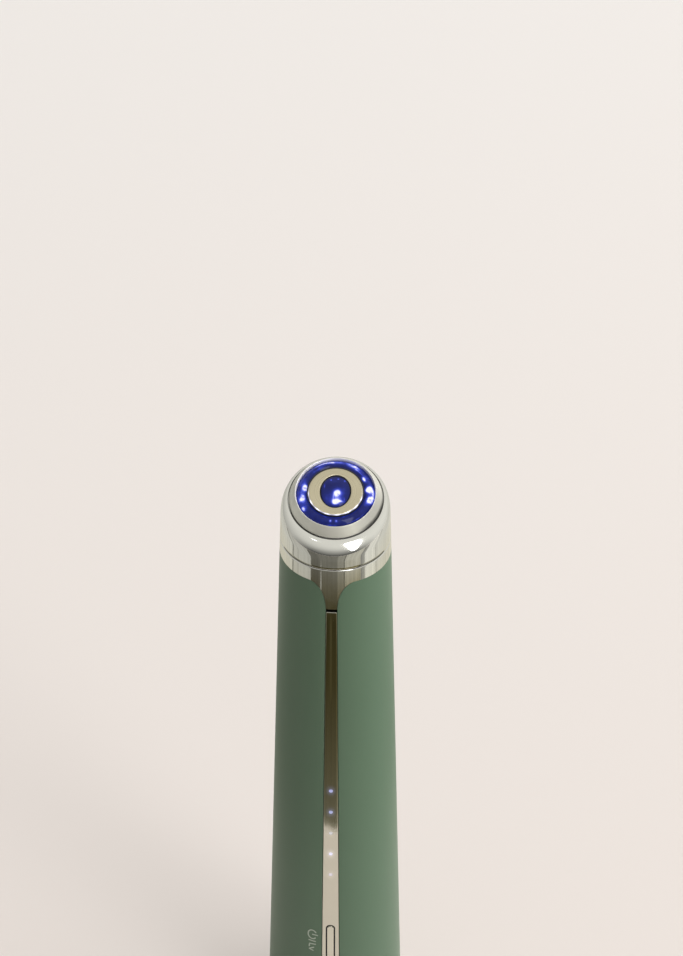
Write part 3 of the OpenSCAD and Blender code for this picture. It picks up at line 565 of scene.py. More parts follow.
# Painted shade on the foot in the crease, painted dark reflections on parts of the slope by bearing, and a
# darker painted patch near the crease at the front right.
in_gap = np.clip((GAP_START - height) / 0.2, 0, 0.8) * crease_painted_shade / 0.6
places = [-180, -165, -150, -133, -115, -105, -62, -50, -38, -20, -5, 5, 15, 150, 165, 180]
shares = [0.22, 0.20, 0.08, 0.15, 0.06, 0, 0, 0.24, 0.42, 0.46, 0.36, 0.2, 0, 0, 0.18, 0.22]
painted_slope_reflection = (radius > LIP_FADE[1]) * (height > SLOPE_END) * np.interp(around, places, shares)
painted_crease_patch = np.interp(around, [-58, -45, -15, 10], [0, 0.45, 0.45, 0])
painted_crease_patch = painted_crease_patch * np.clip((-2.1 - height) / 0.8, 0, 1)
bezel_painted_shade = np.clip(in_gap + painted_slope_reflection + painted_crease_patch * (height > SLOPE_END), 0, 0.85)
set_piece("face_bezel_ring", [lathe(bezel_profile, HEAD_SIDES, on_face)], "face_bezel",
          bezel_satin, fields={"painted_shade": bezel_painted_shade.ravel()})

# %% [markdown]
# ## The light ring and the lens
#
# Both are clear blue mouldings with lamps underneath. What the eye sees is deep navy with glowing blue
# patches and a few white cores where a lamp shines straight up. Each glow is a bell curve, worked out per
# point and kept as an attribute, which the material turns into light. Most bells sit round a lamp; the
# streaks along the ring and some spots on the lens also hold painted highlights, drawn into the same glow.

# %% Glow of the lamps, as attributes
def bells(x, y, spots):
    """Sum of bell curves. A spot is x, y, width across, width along and strength, in millimetres."""
    total = np.zeros_like(x)
    for at_x, at_y, wide, long, strength in spots:
        total = total + strength * np.exp(-((x - at_x) / wide) ** 2 - ((y - at_y) / long) ** 2)
    return total


def streaks(x, y, rows):
    """Bells laid along the ring. A row is angle in degrees, radius, width along, width across, strength."""
    radius, angle = np.hypot(x, y), np.degrees(np.arctan2(y, x))
    total = np.zeros_like(x)
    for at, r, along, across, strength in rows:
        run = ((angle - at + 180) % 360 - 180) * np.pi / 180 * r
        total = total + strength * np.exp(-(run / along) ** 2 - ((radius - r) / across) ** 2)
    return total


GLOW_STOPS = [(0.0, (0.003, 0.004, 0.035)), (0.22, (0.010, 0.017, 0.14)), (0.45, (0.028, 0.045, 0.42)),
              (0.68, (0.13, 0.18, 0.80)), (0.84, (0.50, 0.50, 1.0)), (1.0, (1.0, 1.0, 1.0))]


def lit_blue(name, deep, gain, rough):
    """Glossy navy moulding. A ramp turns its glow, from 0 to 1, into navy, blue, lavender and white."""
    material, tree, shader = start_finish(name)
    swirl = ranged(tree, noise(tree, 0.7), 0.32, 0.68, 1 - gain, 1 + gain)
    ramp = add(tree, "ValToRGB", {"Fac": maths(tree, "MULTIPLY", carried(tree, "glow"), swirl)})
    points = ramp.color_ramp.elements
    while len(points) < len(GLOW_STOPS):
        points.new(0.5)
    for point, (place, colour) in zip(points, GLOW_STOPS):
        point.position, point.color = place, (*colour, 1)
    give_off(tree, shader, ramp.outputs["Color"])
    deeper = tuple(c * 0.7 for c in deep[:3]) + (1,)
    tree.links.new(mix(tree, swirl, deeper, deep), shader.inputs["Base Color"])
    tree.links.new(ranged(tree, noise(tree, 1.0), 0.3, 0.7, rough, rough + 0.05), shader.inputs["Roughness"])
    shader.inputs["Specular IOR Level"].default_value = 0.2
    return material


NAVY = (0.002, 0.003, 0.03, 1)
ring_blue = lit_blue("lit ring blue", NAVY, 0.32, 0.05)
lens_blue = lit_blue("lit lens blue", NAVY, 0.16, 0.03)

# %% Light ring
LAMP_CORES = [(30.8, 9.35, 0.85, 0.4, 0.85), (7.7, 9.85, 1.0, 1.0, 1.3), (-12.3, 10.5, 1.0, 0.7, 1.1),
              (174, 9.05, 1.05, 0.8, 1.2), (195.5, 10.0, 0.95, 0.85, 1.2), (214, 10.85, 0.7, 0.4, 0.9)]
# Streaks along the ring: lamp glow, and painted highlights where the crown would mirror the room's light.
GLOW_AND_HIGHLIGHT_STREAKS = [(112, 10.7, 2.8, 0.22, 0.6), (98, 10.3, 1.6, 0.2, 0.4), (62, 10.4, 2.1, 0.8, 0.75),
                (48, 9.7, 1.3, 0.2, 0.45), (128, 9.4, 1.6, 0.3, 0.35), (-3, 11.1, 1.3, 0.45, 0.45),
                (-95, 10.0, 0.35, 0.4, 0.6), (-85, 9.9, 0.3, 0.35, 0.5), (-107, 8.9, 0.5, 0.15, 0.4),
                (-71, 8.8, 0.5, 0.15, 0.4), (-52, 11.0, 3.0, 0.14, 0.36), (-92, 11.1, 1.4, 0.25, 0.3)]
LAMP_PITCH, BRIGHT_LAMPS = 22.5, (0, 1, 7, 8, 9, 15)
LAMP_HALO = [(7.5 + LAMP_PITCH * k, 10.0, 1.7, 1.0, 0.34 if k in BRIGHT_LAMPS else 0.11) for k in range(16)]
LAMP_RIM = [(96, 10.6, 7.0, 0.8, 0.34), (180, 11.2, 9.0, 0.3, 0.14), (-90, 8.6, 10.0, 0.4, 0.18),
            (-2, 10.4, 3.4, 1.0, 0.30), (187, 9.4, 2.4, 0.6, 0.10)]
s = np.linspace(0, 1, 31)
crown = joined(11.54 - 3.23 * s, -1.1 + 0.75 * s + 0.75 * np.sin(np.pi * s))
ring_profile = np.concatenate([[(11.55, -2.5), (11.55, -1.2)], crown, [(8.3, -0.45), (8.3, -2.5)]])
ring_patch = lathe(ring_profile, 480)
flat_x, flat_y = ring_patch[0][:, 0], ring_patch[0][:, 1]
ring_glow = 0.08 + streaks(flat_x, flat_y, LAMP_CORES + GLOW_AND_HIGHLIGHT_STREAKS + LAMP_HALO + LAMP_RIM)
set_piece("light_ring_moulding", [(on_face(ring_patch[0]), ring_patch[1])], "light_ring",
          ring_blue, fields={"glow": np.clip(ring_glow, 0, 1)})

# %% Centre lens
LENS_W, LENS_L, DOME_R, CROWN = 8.34, 10.54, 12.0, 1.4
# Spots on the lens: glow of the lamp under it, and painted highlights.
LENS_GLOW_AND_HIGHLIGHTS = [(0.55, -1.0, 0.85, 0.95, 1.25), (0.25, -3.85, 0.95, 0.7, 1.2), (1.7, -3.5, 1.1, 0.3, 0.4),
              (0.55, 4.15, 0.3, 0.25, 0.55), (-1.55, 3.7, 0.25, 0.35, 0.5), (2.5, 3.6, 0.25, 0.35, 0.5),
              (-3.3, 1.4, 0.16, 0.8, 0.4), (2.75, -2.9, 0.2, 0.6, 0.3), (-0.5, -2.2, 0.2, 1.2, 0.15)]
LENS_HALO = [(0.6, -1.3, 1.6, 1.8, 0.44), (0.4, -3.2, 1.8, 1.1, 0.38), (-2.4, -2.6, 1.2, 2.0, 0.16),
             (2.6, 0.2, 0.9, 2.6, 0.10), (-0.6, 3.2, 2.4, 0.9, 0.10)]
angle = whole_turn(160)


def lens_row(share, height=None):
    """An oval of a share of the lens's size, lifted onto the dome unless a height is given."""
    x, y = share * LENS_W / 2 * np.cos(angle), share * LENS_L / 2 * np.sin(angle)
    dome = CROWN - DOME_R + np.sqrt(DOME_R**2 - x**2 - y**2)
    return joined(x, y, dome if height is None else height)


lens_rows = [lens_row(share) for share in np.linspace(0, 0.985, 34)]
lens_rows += [lens_row(1.0) - [0, 0, 0.05], lens_row(1.0, -1.2), lens_row(0.5, -1.2), lens_row(0, -1.2)]
lens_grid = np.stack(lens_rows)
lens_glow = 0.10 + bells(lens_grid[..., 0], lens_grid[..., 1], LENS_GLOW_AND_HIGHLIGHTS + LENS_HALO)
set_piece("centre_lens_dome", [weave(on_face(lens_grid), ring=True)], "centre_lens", lens_blue,
          fields={"glow": np.clip(lens_glow, 0, 1)})

# %% [markdown]
# ## The electrode and its gasket
#
# The electrode is round outside and has an oval window. The grid carries a circle into an oval: each column
# keeps its angle, and the rows go up the outer wall, across the flat, down the window and back underneath.

# %% Circle to oval
def between(share, outer, inner, height):
    """Blends the outer outline's half widths into the inner one's."""
    half = [(1 - share) * outer[i] + share * inner[i] for i in (0, 1)]
    return joined(half[0] * np.cos(turn), half[1] * np.sin(turn), height)


def oval_washer(outer, inner, profile):
    """A closed ring between two outlines. The profile gives share across and height."""
    return np.stack([between(s, outer, inner, h) for s, h in profile])


turn = whole_turn(360)
electrode_profile = [(0, h) for h in (-1.2, -0.6, -0.4, -0.25, -0.1, 0.02, 0.12)]
electrode_profile += [(0.015, 0.22), (0.035, 0.32), (0.06, 0.40)]
electrode_profile += [(s, 0.45) for s in np.linspace(0.1, 0.93, 9)]
electrode_profile += [(0.965, 0.41), (0.985, 0.32), (1, 0.2), (1, -1.2)]
plate_grid = oval_washer((8.1, 8.1), (4.5, 5.6), electrode_profile)
# Painted reflections, given off as light: white glints on the lower front of the outer wall, where the ring's
# lamps would mirror in it, and blue on the wall's foot, strongest at the front, where the lit ring would.
rim_angle, rim_h = np.degrees(np.arctan2(plate_grid[..., 1], plate_grid[..., 0])), plate_grid[..., 2]
rim = np.hypot(plate_grid[..., 0], plate_grid[..., 1]) > 7.85
lower = rim * np.clip(0.35 - np.sin(np.radians(rim_angle)), 0, 1)
scallops = sum(np.exp(-(((rim_angle - at + 180) % 360 - 180) / 5.5) ** 2) for at in
               [-15 - LAMP_PITCH * k for k in range(8)])
patches_of_light = 2.0 * scallops * np.exp(-((rim_h - 0.1) / 0.36) ** 2)
white = lower * (patches_of_light + 0.55 * np.exp(-((rim_h - 0.3) / 0.12) ** 2))
blue = rim * (rim_h < 0.25) * (0.35 + 0.65 * np.clip(-np.sin(np.radians(rim_angle)), 0, 1))
shine = white[..., None] * [0.84, 0.84, 1.0, 0] + blue[..., None] * [0.025, 0.035, 0.36, 0]
set_piece("electrode_plate", [weave(on_face(plate_grid), ring=True, loop=True)], "electrode_ring",
          electrode_satin, fields={"shine": shine})
gasket_profile = [(0, -1.2), (0, 0.13), (0.25, 0.2), (0.75, 0.2), (1, 0.13), (1, -1.2)]
gasket_grid = oval_washer((4.475, 5.575), (4.19, 5.29), gasket_profile)
set_piece("lens_gasket_ring", [weave(on_face(gasket_grid), ring=True, loop=True)], "lens_gasket",
          black_rubber)

# %% [markdown]
# ## The collar with its tongue
#
# Below the seam a bare metal collar runs round the wand and reaches down the front in a tongue, between two
# rounded corners of the sleeve. Each column of the grid starts where the collar's lower edge is at that
# bearing: level at the back, on the corner's quarter ellipse at the front, and at the tongue's tip.

# %% Lower edge of the collar and the collar's loop of rows
STRIP_TOP, SLEEVE_TOP, CORNER_W, CORNER_H = 178.8, 189.8, 5.2, 9.5
COLLAR_TOP, TONGUE_LOW, WALL = 194.7, 180.0, 1.8
COLLAR_BORE_R, SHELF_LOW = 14.6, 189.0
CORNER_HALF, CORNER_FOOT = 1.775, 180.3


def corner_curve(theta, shrink):
    """Quarter of an ellipse: out by one minus the cosine, up by the sine."""
    x = CORNER_HALF - shrink + CORNER_W * (1 - np.cos(theta))
    return x, CORNER_FOOT + shrink + CORNER_H * np.sin(theta)


theta = np.radians(np.arange(4, 91, 2.0))
side_x, side_z = corner_curve(theta, 0.1)
tip_x = np.linspace(0, CORNER_HALF - 0.1, 6)
half_x = np.concatenate([tip_x, side_x])
half_z = np.concatenate([0 * tip_x + TONGUE_LOW, side_z])
half_phi = np.arcsin(half_x / body_r(half_z))
back_phi = np.linspace(half_phi[-1], np.pi, 66)[1:]
phi = np.concatenate([half_phi, back_phi])
low_z = np.concatenate([half_z, 0 * back_phi + SLEEVE_TOP + 0.1])
phi = np.concatenate([phi, -phi[-2:0:-1]])
low_z = np.concatenate([low_z, low_z[-2:0:-1]])


def round_front(r, z, bearing):
    """Points at bearings that are measured from the front."""
    return joined(r * np.sin(bearing), -r * np.cos(bearing), z)


def inner_phi(r):
    """Keeps the wall square to the front near the tongue, and fades to straight inwards at the back."""
    edge = half_phi[-1]
    shift = np.arcsin(np.clip(np.sin(edge) * body_r(SLEEVE_TOP) / r, -1, 1)) - edge
    ahead = np.arcsin(np.clip(np.sin(np.clip(phi, -edge, edge)) * body_r(SLEEVE_TOP) / r, -1, 1))
    fade = phi + np.sign(phi) * shift * (np.pi - np.abs(phi)) / (np.pi - edge)
    return np.where(np.abs(phi) <= edge, ahead, fade)


rows = [round_front(body_r(z), z, phi) for z in [low_z + (194.3 - low_z) * t for t in np.linspace(0, 1, 8)]]
for lift in (0.0, 0.08, 0.16, 0.22):
    rows.append(round_front(body_r(194.47 + lift) - lift * lift * 4, 194.47 + lift, phi))
rows.append(round_front(body_r(COLLAR_TOP) - 0.3, COLLAR_TOP, phi))
bore_steps = [(COLLAR_BORE_R, COLLAR_TOP), (COLLAR_BORE_R, SPIGOT_LOW), (HEAD_BORE_R, SPIGOT_LOW),
              (HEAD_BORE_R, SHELF_LOW), (COLLAR_BORE_R, SHELF_LOW)]
rows += [round_front(r, z, inner_phi(r)) for r, z in bore_steps]
rows.append(round_front(np.minimum(body_r(low_z) - WALL, 14.8), low_z, inner_phi(14.7)))
set_piece("collar_with_tongue", [weave(np.stack(rows), ring=True, loop=True)], "collar",
          chrome)

# %% [markdown]
# ## The soft-touch sleeve
#
# The sleeve is a cone shell with a slot down its front. A grid of height and bearing gives the outer skin,
# and the same grid further in gives the inner one. Each row starts and ends at the slot's edge, which
# narrows with the strip and opens on the rounded corners at the top.

# %% Slot edge and the two skins
def strip_half(z):
    """Half the strip's width, narrowing in a straight line up to its top."""
    return (6.0 + (3.25 - 6.0) * z / STRIP_TOP) / 2


straight_z = np.append(np.linspace(6.0, STRIP_TOP, 40), CORNER_FOOT)
straight_x = strip_half(np.minimum(straight_z, STRIP_TOP)) + 0.15
arc_x, arc_z = corner_curve(np.radians(np.arange(3, 91, 3.0)), 0.0)
edge_x, edge_z = np.append(straight_x, arc_x)[:, None], np.append(straight_z, arc_z)[:, None]
across = np.linspace(0, 1, 161)
across = across - 0.1 * np.sin(4 * np.pi * across) / (4 * np.pi)


def sleeve_skin(inset):
    """Bearings run from the slot's right edge round the back to its left edge."""
    r = body_r(edge_z) - inset
    start = np.arcsin(edge_x / r)
    return round_front(r, edge_z, start + across * (2 * np.pi - 2 * start))


set_piece("soft_sleeve", thick_sheet(sleeve_skin(0.0), sleeve_skin(WALL)), "body_sleeve",
          soft_green, bevel=0.12)

# %% [markdown]
# ## The level lights and the power button
#
# Each level light is the polished end of a clear pipe, a hair proud of the strip. The button is a long pill
# with eased edges on a wider flange, and it moves: it rides on its own CAD body.

# %% Level lights
TOP_LIGHT_Z, LIGHT_PITCH, LIGHT_R, PIPE_L = 107.6, 8.8, 0.6, 6.5
LIGHT_Z = [TOP_LIGHT_Z - LIGHT_PITCH * i for i in range(5)]
LIGHT_TINT = [(0.31, 0.33, 0.60), (0.29, 0.32, 0.55), (0.52, 0.50, 0.48), (0.74, 0.71, 0.86),
              (0.58, 0.52, 0.54)]


def pipe_profile():
    """A shallow dome, an eased rim and a straight side down to the lamp."""
    top = [(LIGHT_R * math.sin(t), -0.05 * math.cos(t)) for t in np.linspace(0, np.pi / 2, 7)]
    return top + [(LIGHT_R, PIPE_L), (0.0, PIPE_L)]


pipe_points, pipe_faces = lathe(pipe_profile(), 32)
pipe_points = pipe_points[:, [0, 2, 1]]
light_patches = [(on_front(pipe_points + [0, 0, z / math.cos(FLANK)]), pipe_faces) for z in LIGHT_Z]
tints = np.concatenate([np.tile((*tint, 1.0), (len(pipe_points), 1)) for tint in LIGHT_TINT])
light_glass, tree, shader = finish("level light glass", (0.12, 0.12, 0.14, 1), 0.15, grain=5.0, relief=0.002)
give_off(tree, shader, carried(tree, "tint", "Color"))
set_piece("level_light_pipes", light_patches, "level_lights", light_glass,
          fields={"tint": tints})

# %% Power button
KEY_W, KEY_L, BUTTON_Z = 2.14, 20.64, 39.85
FLANGE_W, FLANGE_L, STEM_D = 4.4, 22.04, 2.4
way = whole_turn(96)


def pill(width, length):
    """A circle pulled apart along its length: half the difference is added above and taken off below."""
    z = width / 2 * np.sin(way) + np.sign(np.round(np.sin(way), 9)) * (length - width) / 2
    return width / 2 * np.cos(way), z


def key_row(width, length, depth):
    """The pill's outline at a depth below the strip's surface."""
    x, z = pill(width, length)
    return joined(x, depth, z)


key_rows = [key_row(0.0, KEY_L - KEY_W, -0.2)]
key_rows += [key_row(KEY_W - 2 * e, KEY_L - 2 * e, d) for e, d in
             [(0.6, -0.2), (0.25, -0.195), (0.12, -0.16), (0.04, -0.08), (0, 0.04), (0, 0.2), (0, 2.0)]]
key_rows += [key_row(FLANGE_W, FLANGE_L, depth) for depth in (2.0, 2.9)]
key_rows += [key_row(STEM_D, STEM_D, depth) for depth in (2.9, 4.6)] + [key_row(0.0, 0.0, 4.6)]
key_rows = np.stack(key_rows)
key_grid = on_front(key_rows + [0, 0, BUTTON_Z / math.cos(FLANK)])
# Painted shade: the key's sides go black from just below its top, as in the narrow slot round it.
set_piece("power_button_key", [weave(key_grid, ring=True)], "power_button", key_metal,
          body="power_key", fields={"painted_shade": np.clip((key_rows[..., 1] + 0.1) / 0.1, 0, 1)})

# %% [markdown]
# ## The front strip
#
# The strip is a long plate, slightly crowned so that it follows the cone, with eased edges, five round
# windows and the button's slot. Two mirrored halves make it: each row of a half starts at a hole's edge, or
# at the middle line where there is none, so the halves meet there and leave the holes open.

# %% Strip plate
STRIP_LOW, STRIP_T, EASE, TOP_ROUND = 6.15, 1.8, 0.2, 0.4
HOLE_R, SLOT_W, SLOT_L = 0.65, 3.0, 21.5


def hole_half(z):
    """Half width of the window or slot at a height: a circle, or a circle pulled apart along the strip."""
    half = np.zeros_like(z)
    for centre in LIGHT_Z:
        half = np.maximum(half, np.sqrt(np.clip(HOLE_R**2 - (z - centre) ** 2, 0, None)))
    past = np.clip(np.abs(z - BUTTON_Z) - (SLOT_L - SLOT_W) / 2, 0, None)
    return np.maximum(half, np.sqrt(np.clip((SLOT_W / 2) ** 2 - past**2, 0, None)))


def plate_half(z):
    """Half the plate's width, drawn in by a quarter circle at the top corners."""
    past = np.clip(z - (STRIP_TOP - TOP_ROUND), 0, TOP_ROUND)
    return strip_half(z) - TOP_ROUND + np.sqrt(TOP_ROUND**2 - past**2)


def eased(distance):
    """Depth of a quarter-round edge at a distance in from the outline."""
    return EASE - np.sqrt(EASE**2 - (EASE - np.clip(distance, 0, EASE)) ** 2)


bow = np.cos(np.linspace(0, np.pi, 17))
plate_z = [np.linspace(STRIP_LOW, STRIP_TOP, 300),
           STRIP_TOP - EASE * (1 - np.cos(np.linspace(0, np.pi / 2, 6))),
           STRIP_TOP - TOP_ROUND + TOP_ROUND * np.sin(np.linspace(0, np.pi / 2, 12))]
plate_z += [centre + HOLE_R * bow for centre in LIGHT_Z]
plate_z += [BUTTON_Z + end * (SLOT_L / 2 - SLOT_W / 2 * (1 - np.abs(bow))) for end in (-1, 1)]
plate_z = np.unique(np.round(np.concatenate(plate_z), 4))[:, None]
inside, outside = hole_half(plate_z), plate_half(plate_z)
inside[inside < 0.03] = 0
share = np.linspace(0, 1, 8)
from_edge = EASE * (1 - np.sin(np.linspace(0, np.pi / 2, 5)))[1:]
front_x = np.concatenate([inside + (outside - EASE - inside) * share, outside - from_edge], axis=1)
to_end = np.minimum(STRIP_TOP - plate_z, plate_z - STRIP_LOW)
front_y = front_x**2 / (2 * body_r(plate_z)) + eased(np.minimum(outside - front_x, to_end))


def plate_patches(side):
    """Front, side wall and back as one open loop of columns, its two ends, and the walls of the holes."""
    x = np.concatenate([front_x, front_x[:, -1:], front_x[:, ::-1]], axis=1) * side
    y = np.concatenate([front_y, front_y[:, -1:] + 0.12, 0 * front_x + STRIP_T], axis=1)
    # The fourth value is painted shade: the side walls, the back and the walls of the holes are painted
    # black.
    dark = np.concatenate([0 * front_x, 0 * front_x[:, :1] + 1, 0 * front_x + 1], axis=1)
    loop = joined(x, y, plate_z / math.cos(FLANK), dark)
    count = front_x.shape[1]
    ends = []
    for row in (0, -1):
        top, deep = loop[row, :count + 1], loop[row, :count - 1:-1]
        under = top.copy()
        under[:-1, 1] += 0.1
        under[:, 3] = 1
        ends.append(np.stack([top, under, deep]))
    rows = np.flatnonzero(inside[:, 0] > 0)
    holes = []
    for group in np.split(rows, np.flatnonzero(np.diff(rows) > 1) + 1):
        span = np.concatenate([[group[0] - 1], group, [group[-1] + 1]])
        top, under, deep = loop[span, 0].copy(), loop[span, 0].copy(), loop[span, -1]
        under[:, 1] += 0.04
        under[:, 3] = 1
        holes.append(np.stack([top, under, deep]))
    return [loop] + ends + holes


# Painted glow: each light's glow on the metal around it is painted in as the metal's own light, a bell
# curve drawn out along the strip, because the camera sees the strip at a slant.
HALO, HALO_R, HALO_SQUEEZE = [0.28, 0.28, 0.15, 0.26, 0.17], 0.95, 0.72
patches, plate_values = [], []
for side in (1, -1):
    for grid in plate_patches(side):
        patches.append(weave(on_front(grid[..., :3])))
        plate_values.append(grid.reshape(-1, 4))
plate_values = np.concatenate(plate_values)
halo = np.zeros((len(plate_values), 4))
for centre, tint, level in zip(LIGHT_Z, LIGHT_TINT, HALO):
    away = np.hypot(plate_values[:, 0], HALO_SQUEEZE * (plate_values[:, 2] * math.cos(FLANK) - centre))
    halo[:, :3] += np.exp(-(away / HALO_R) ** 2)[:, None] * level * np.array(tint)
halo[:, 3] = 1
set_piece("trim_strip_plate", patches, "trim_strip", strip_metal, sharp=40,
          fields={"painted_shade": plate_values[:, 3], "halo": halo})

# %% [markdown]
# ## The printed marks
#
# Beside the button the sleeve carries small printed marks: a power sign and the letters of the level
# setting, both turned a quarter. Ink is a real, very thin layer: a ribbon along each stroke, wrapped round
# the cone. A stroke is a short list of points, as distance round from the front and height.

# %% Ink strokes
arc = np.radians(np.linspace(28, 322, 40))
STROKES = [joined(-5.88 + 1.42 * np.cos(arc), 45.25 + 1.85 * np.sin(arc)),
           [(-5.95, 45.3), (-3.95, 45.2)], [(-7.2, 42.55), (-4.65, 42.35)],
           [(-4.65, 41.2), (-6.8, 41.0), (-6.95, 39.6)], [(-5.3, 39.75), (-6.95, 38.7), (-5.45, 38.2)]]
INK_W, INK_OVER, INK_UNDER = 0.4, 0.03, 0.04


def ribbon(points):
    """Evenly spaced points along the stroke, each with its two edges, drawn in at the ends to round them."""
    points = np.asarray(points, float)
    along = np.concatenate([[0], np.cumsum(np.hypot(*np.diff(points, axis=0).T))])
    to_end = INK_W / 2 * (1 - np.cos(np.linspace(0, np.pi / 2, 5)))
    place = np.sort(np.concatenate([to_end, np.linspace(INK_W / 2, along[-1] - INK_W / 2, 24)[1:-1],
                                    along[-1] - to_end]))
    path = joined(*[np.interp(place, along, points[:, i]) for i in (0, 1)])
    heading = np.gradient(path, place, axis=0)
    heading = heading / np.linalg.norm(heading, axis=1, keepdims=True)
    sideways = joined(-heading[:, 1], heading[:, 0])
    near = np.clip(np.minimum(place, along[-1] - place), 0, INK_W / 2)
    half = np.sqrt(np.clip((INK_W / 2) ** 2 - (INK_W / 2 - near) ** 2, 1e-6, None))[:, None]
    return np.stack([path - sideways * half, path, path + sideways * half], axis=1)


def wrapped(flat, lift):
    """Rolls the flat drawing onto the cone: distance round over radius is the bearing."""
    r = body_r(flat[..., 1])
    return round_front(r + lift, flat[..., 1], flat[..., 0] / r)


ink = finish("pale ink", (0.34, 0.39, 0.33, 1), 0.5, spread=0.08, cloud=0.4, grain=6.0, relief=0.002)[0]
ink_patches = []
for stroke in STROKES:
    flat = ribbon(stroke)
    ink_patches += thick_sheet(wrapped(flat, INK_OVER), wrapped(flat, -INK_UNDER))
set_piece("printed_marks", ink_patches, None, ink)

# %% [markdown]
# ## The base
#
# A metal ring closes the body at the bottom, and a rubber foot stands a little below the cap. Both are
# turned shapes with eased edges.

# %% Base ring and foot
RING_TOP, RING_LOW, NECK_TOP, NECK_R, RING_BORE_R = 5.85, 0.6, 12.0, 19.186, 17.786
ring_profile = rounded([
    (19.3, RING_LOW, 0.1), (body_r(RING_LOW) - 0.6, RING_LOW, 0.2), (body_r(1.2), 1.2, 0.3),
    (body_r(RING_TOP), RING_TOP, 0.15), (NECK_R, RING_TOP, 0.0), (NECK_R, NECK_TOP, 0.15),
    (RING_BORE_R, NECK_TOP, 0.1), (RING_BORE_R, 3.4, 0.0), (19.3, 3.4, 0.0)])
set_piece("base_metal_ring", [lathe(ring_profile, 240)], "base_ring", chrome)
foot_profile = rounded([(13.85, 1.5, 0), (13.85, 0, 0.3), (17.75, 0, 0.3), (17.75, 1.5, 0)])
set_piece("rubber_foot", [lathe(foot_profile)], "foot_ring", foot_rubber)

# %% [markdown]
# ## The studio
#
# A pale floor fills the whole picture. Half of its tone is light of its own, which the camera alone sees, so
# it stays even. A broad lamp far to the right and a small one at the front right light the wand, and its
# soft shadow falls to the left. The metal mirrors the room, so dark and pale cards and two more lamps stand
# where a studio has them. Only mirrored rays see them, so they show in shine and don't light matt colour.

# %% Floor and world
def flat_quad(name, corners):
    """One flat face of the studio, which isn't part of the wand."""
    mesh = bpy.data.meshes.new(name)
    mesh.from_pydata(corners, [], [(0, 1, 2, 3)])
    quad = linked(name, mesh)
    return quad


floor = flat_quad("studio_floor", [(-6, -6, 0), (6, -6, 0), (6, 6, 0), (-6, 6, 0)])
floor_paint, tree, shader = finish("pale floor", (0.84, 0.77, 0.71, 1), 0.9, spread=0.012, cloud=0.004,
                                   grain=0.5, relief=0.02)
depth = add(tree, "SeparateXYZ", {0: place_node(tree)}).outputs["Y"]
# The floor's colour and its own light are both painted paler towards the back: a painted gradient of light.
far_share = ranged(tree, depth, -0.1, 0.6, 0.0, 1.0)
FLOOR_TONES = (0.80, 0.738, 0.692, 1), (0.875, 0.842, 0.805, 1)
PAPER_TONES, PAPER = ((0.80, 0.727, 0.68, 1), (0.90, 0.867, 0.842, 1)), 0.5
tree.links.new(mix(tree, far_share, *FLOOR_TONES), shader.inputs["Base Color"])
shader.inputs["Specular IOR Level"].default_value = 0.1
paper_light = add(tree, "Emission", {"Color": mix(tree, far_share, *PAPER_TONES)})
seen_share = maths(tree, "MULTIPLY", add(tree, "LightPath").outputs["Is Camera Ray"], PAPER)
paper = add(tree, "MixShader", {0: seen_share, 1: shader.outputs[0], 2: paper_light.outputs[0]})
tree.links.new(paper.outputs[0], tree.nodes["Material Output"].inputs["Surface"])
floor.data.materials.append(floor_paint)

world = bpy.data.worlds.new("studio air")
world.use_nodes = True
bpy.context.scene.world = world
sky = world.node_tree
background = sky.nodes["Background"]
background.inputs["Color"].default_value = (1.0, 0.985, 0.93, 1)
direction = add(sky, "SeparateXYZ", {0: place_node(sky, "Generated")})
# The room's air lights the matt pieces evenly. Metal sees it paler overhead and to the right, and nearly
# dark low down in front of the wand.
AIR, MIRRORED_LOW, MIRRORED_HIGH, DIM = 0.50, 0.60, 0.78, 0.85
glossy = add(sky, "LightPath").outputs["Is Glossy Ray"]
rising = ranged(sky, direction.outputs["Z"], 0.0, 1.0, MIRRORED_LOW, MIRRORED_HIGH)
rising = maths(sky, "MULTIPLY", rising, ranged(sky, direction.outputs["X"], -1.0, 1.0, 0.80, 1.25))
ahead = ranged(sky, maths(sky, "MULTIPLY", direction.outputs["Y"], -1.0), 0.3, 0.8, 0.0, DIM)
fading = ranged(sky, direction.outputs["Z"], 0.0, 1.0, 1.0, 0.0)
kept = maths(sky, "SUBTRACT", 1.0, maths(sky, "MULTIPLY", ahead, fading))
seen_air = maths(sky, "SUBTRACT", maths(sky, "MULTIPLY", rising, kept), AIR)
strength = maths(sky, "ADD", maths(sky, "MULTIPLY", glossy, seen_air), AIR)
sky.links.new(strength, background.inputs["Strength"])
print("air at", AIR, "and as mirrored up to", MIRRORED_HIGH)


# %% Cards that only mirrored rays see
# Shares by distance from the wand in millimetres, joined by straight lines: a dark card's light and how
# brown it is, and the same for an even card.
DARK_LIGHT = ([0, 120, 130, 140, 170, 200, 225, 235, 241, 247, 253, 262, 266, 4000],
              [1, 1.02, 0.90, 0.74, 0.50, 0.33, 0.28, 0.22, 0.30, 0.42, 0.74, 0.75, 1.05, 1.05])
DARK_BROWN = [122, 157, 180, 205, 242, 253, 266], [0.42, 0.68, 0.8, 1.0, 1.0, 0.55, 0.12]
EVEN_LIGHT = [100, 140, 205, 215], [1, 0.3, 0.3, 1]
EVEN_BROWN = [240, 262], [1, 0]
SOFT_EDGE, SOFT_LIGHT, STREAKS = 4.0, 0.5, 0.10
streak_draw = np.random.default_rng(7)


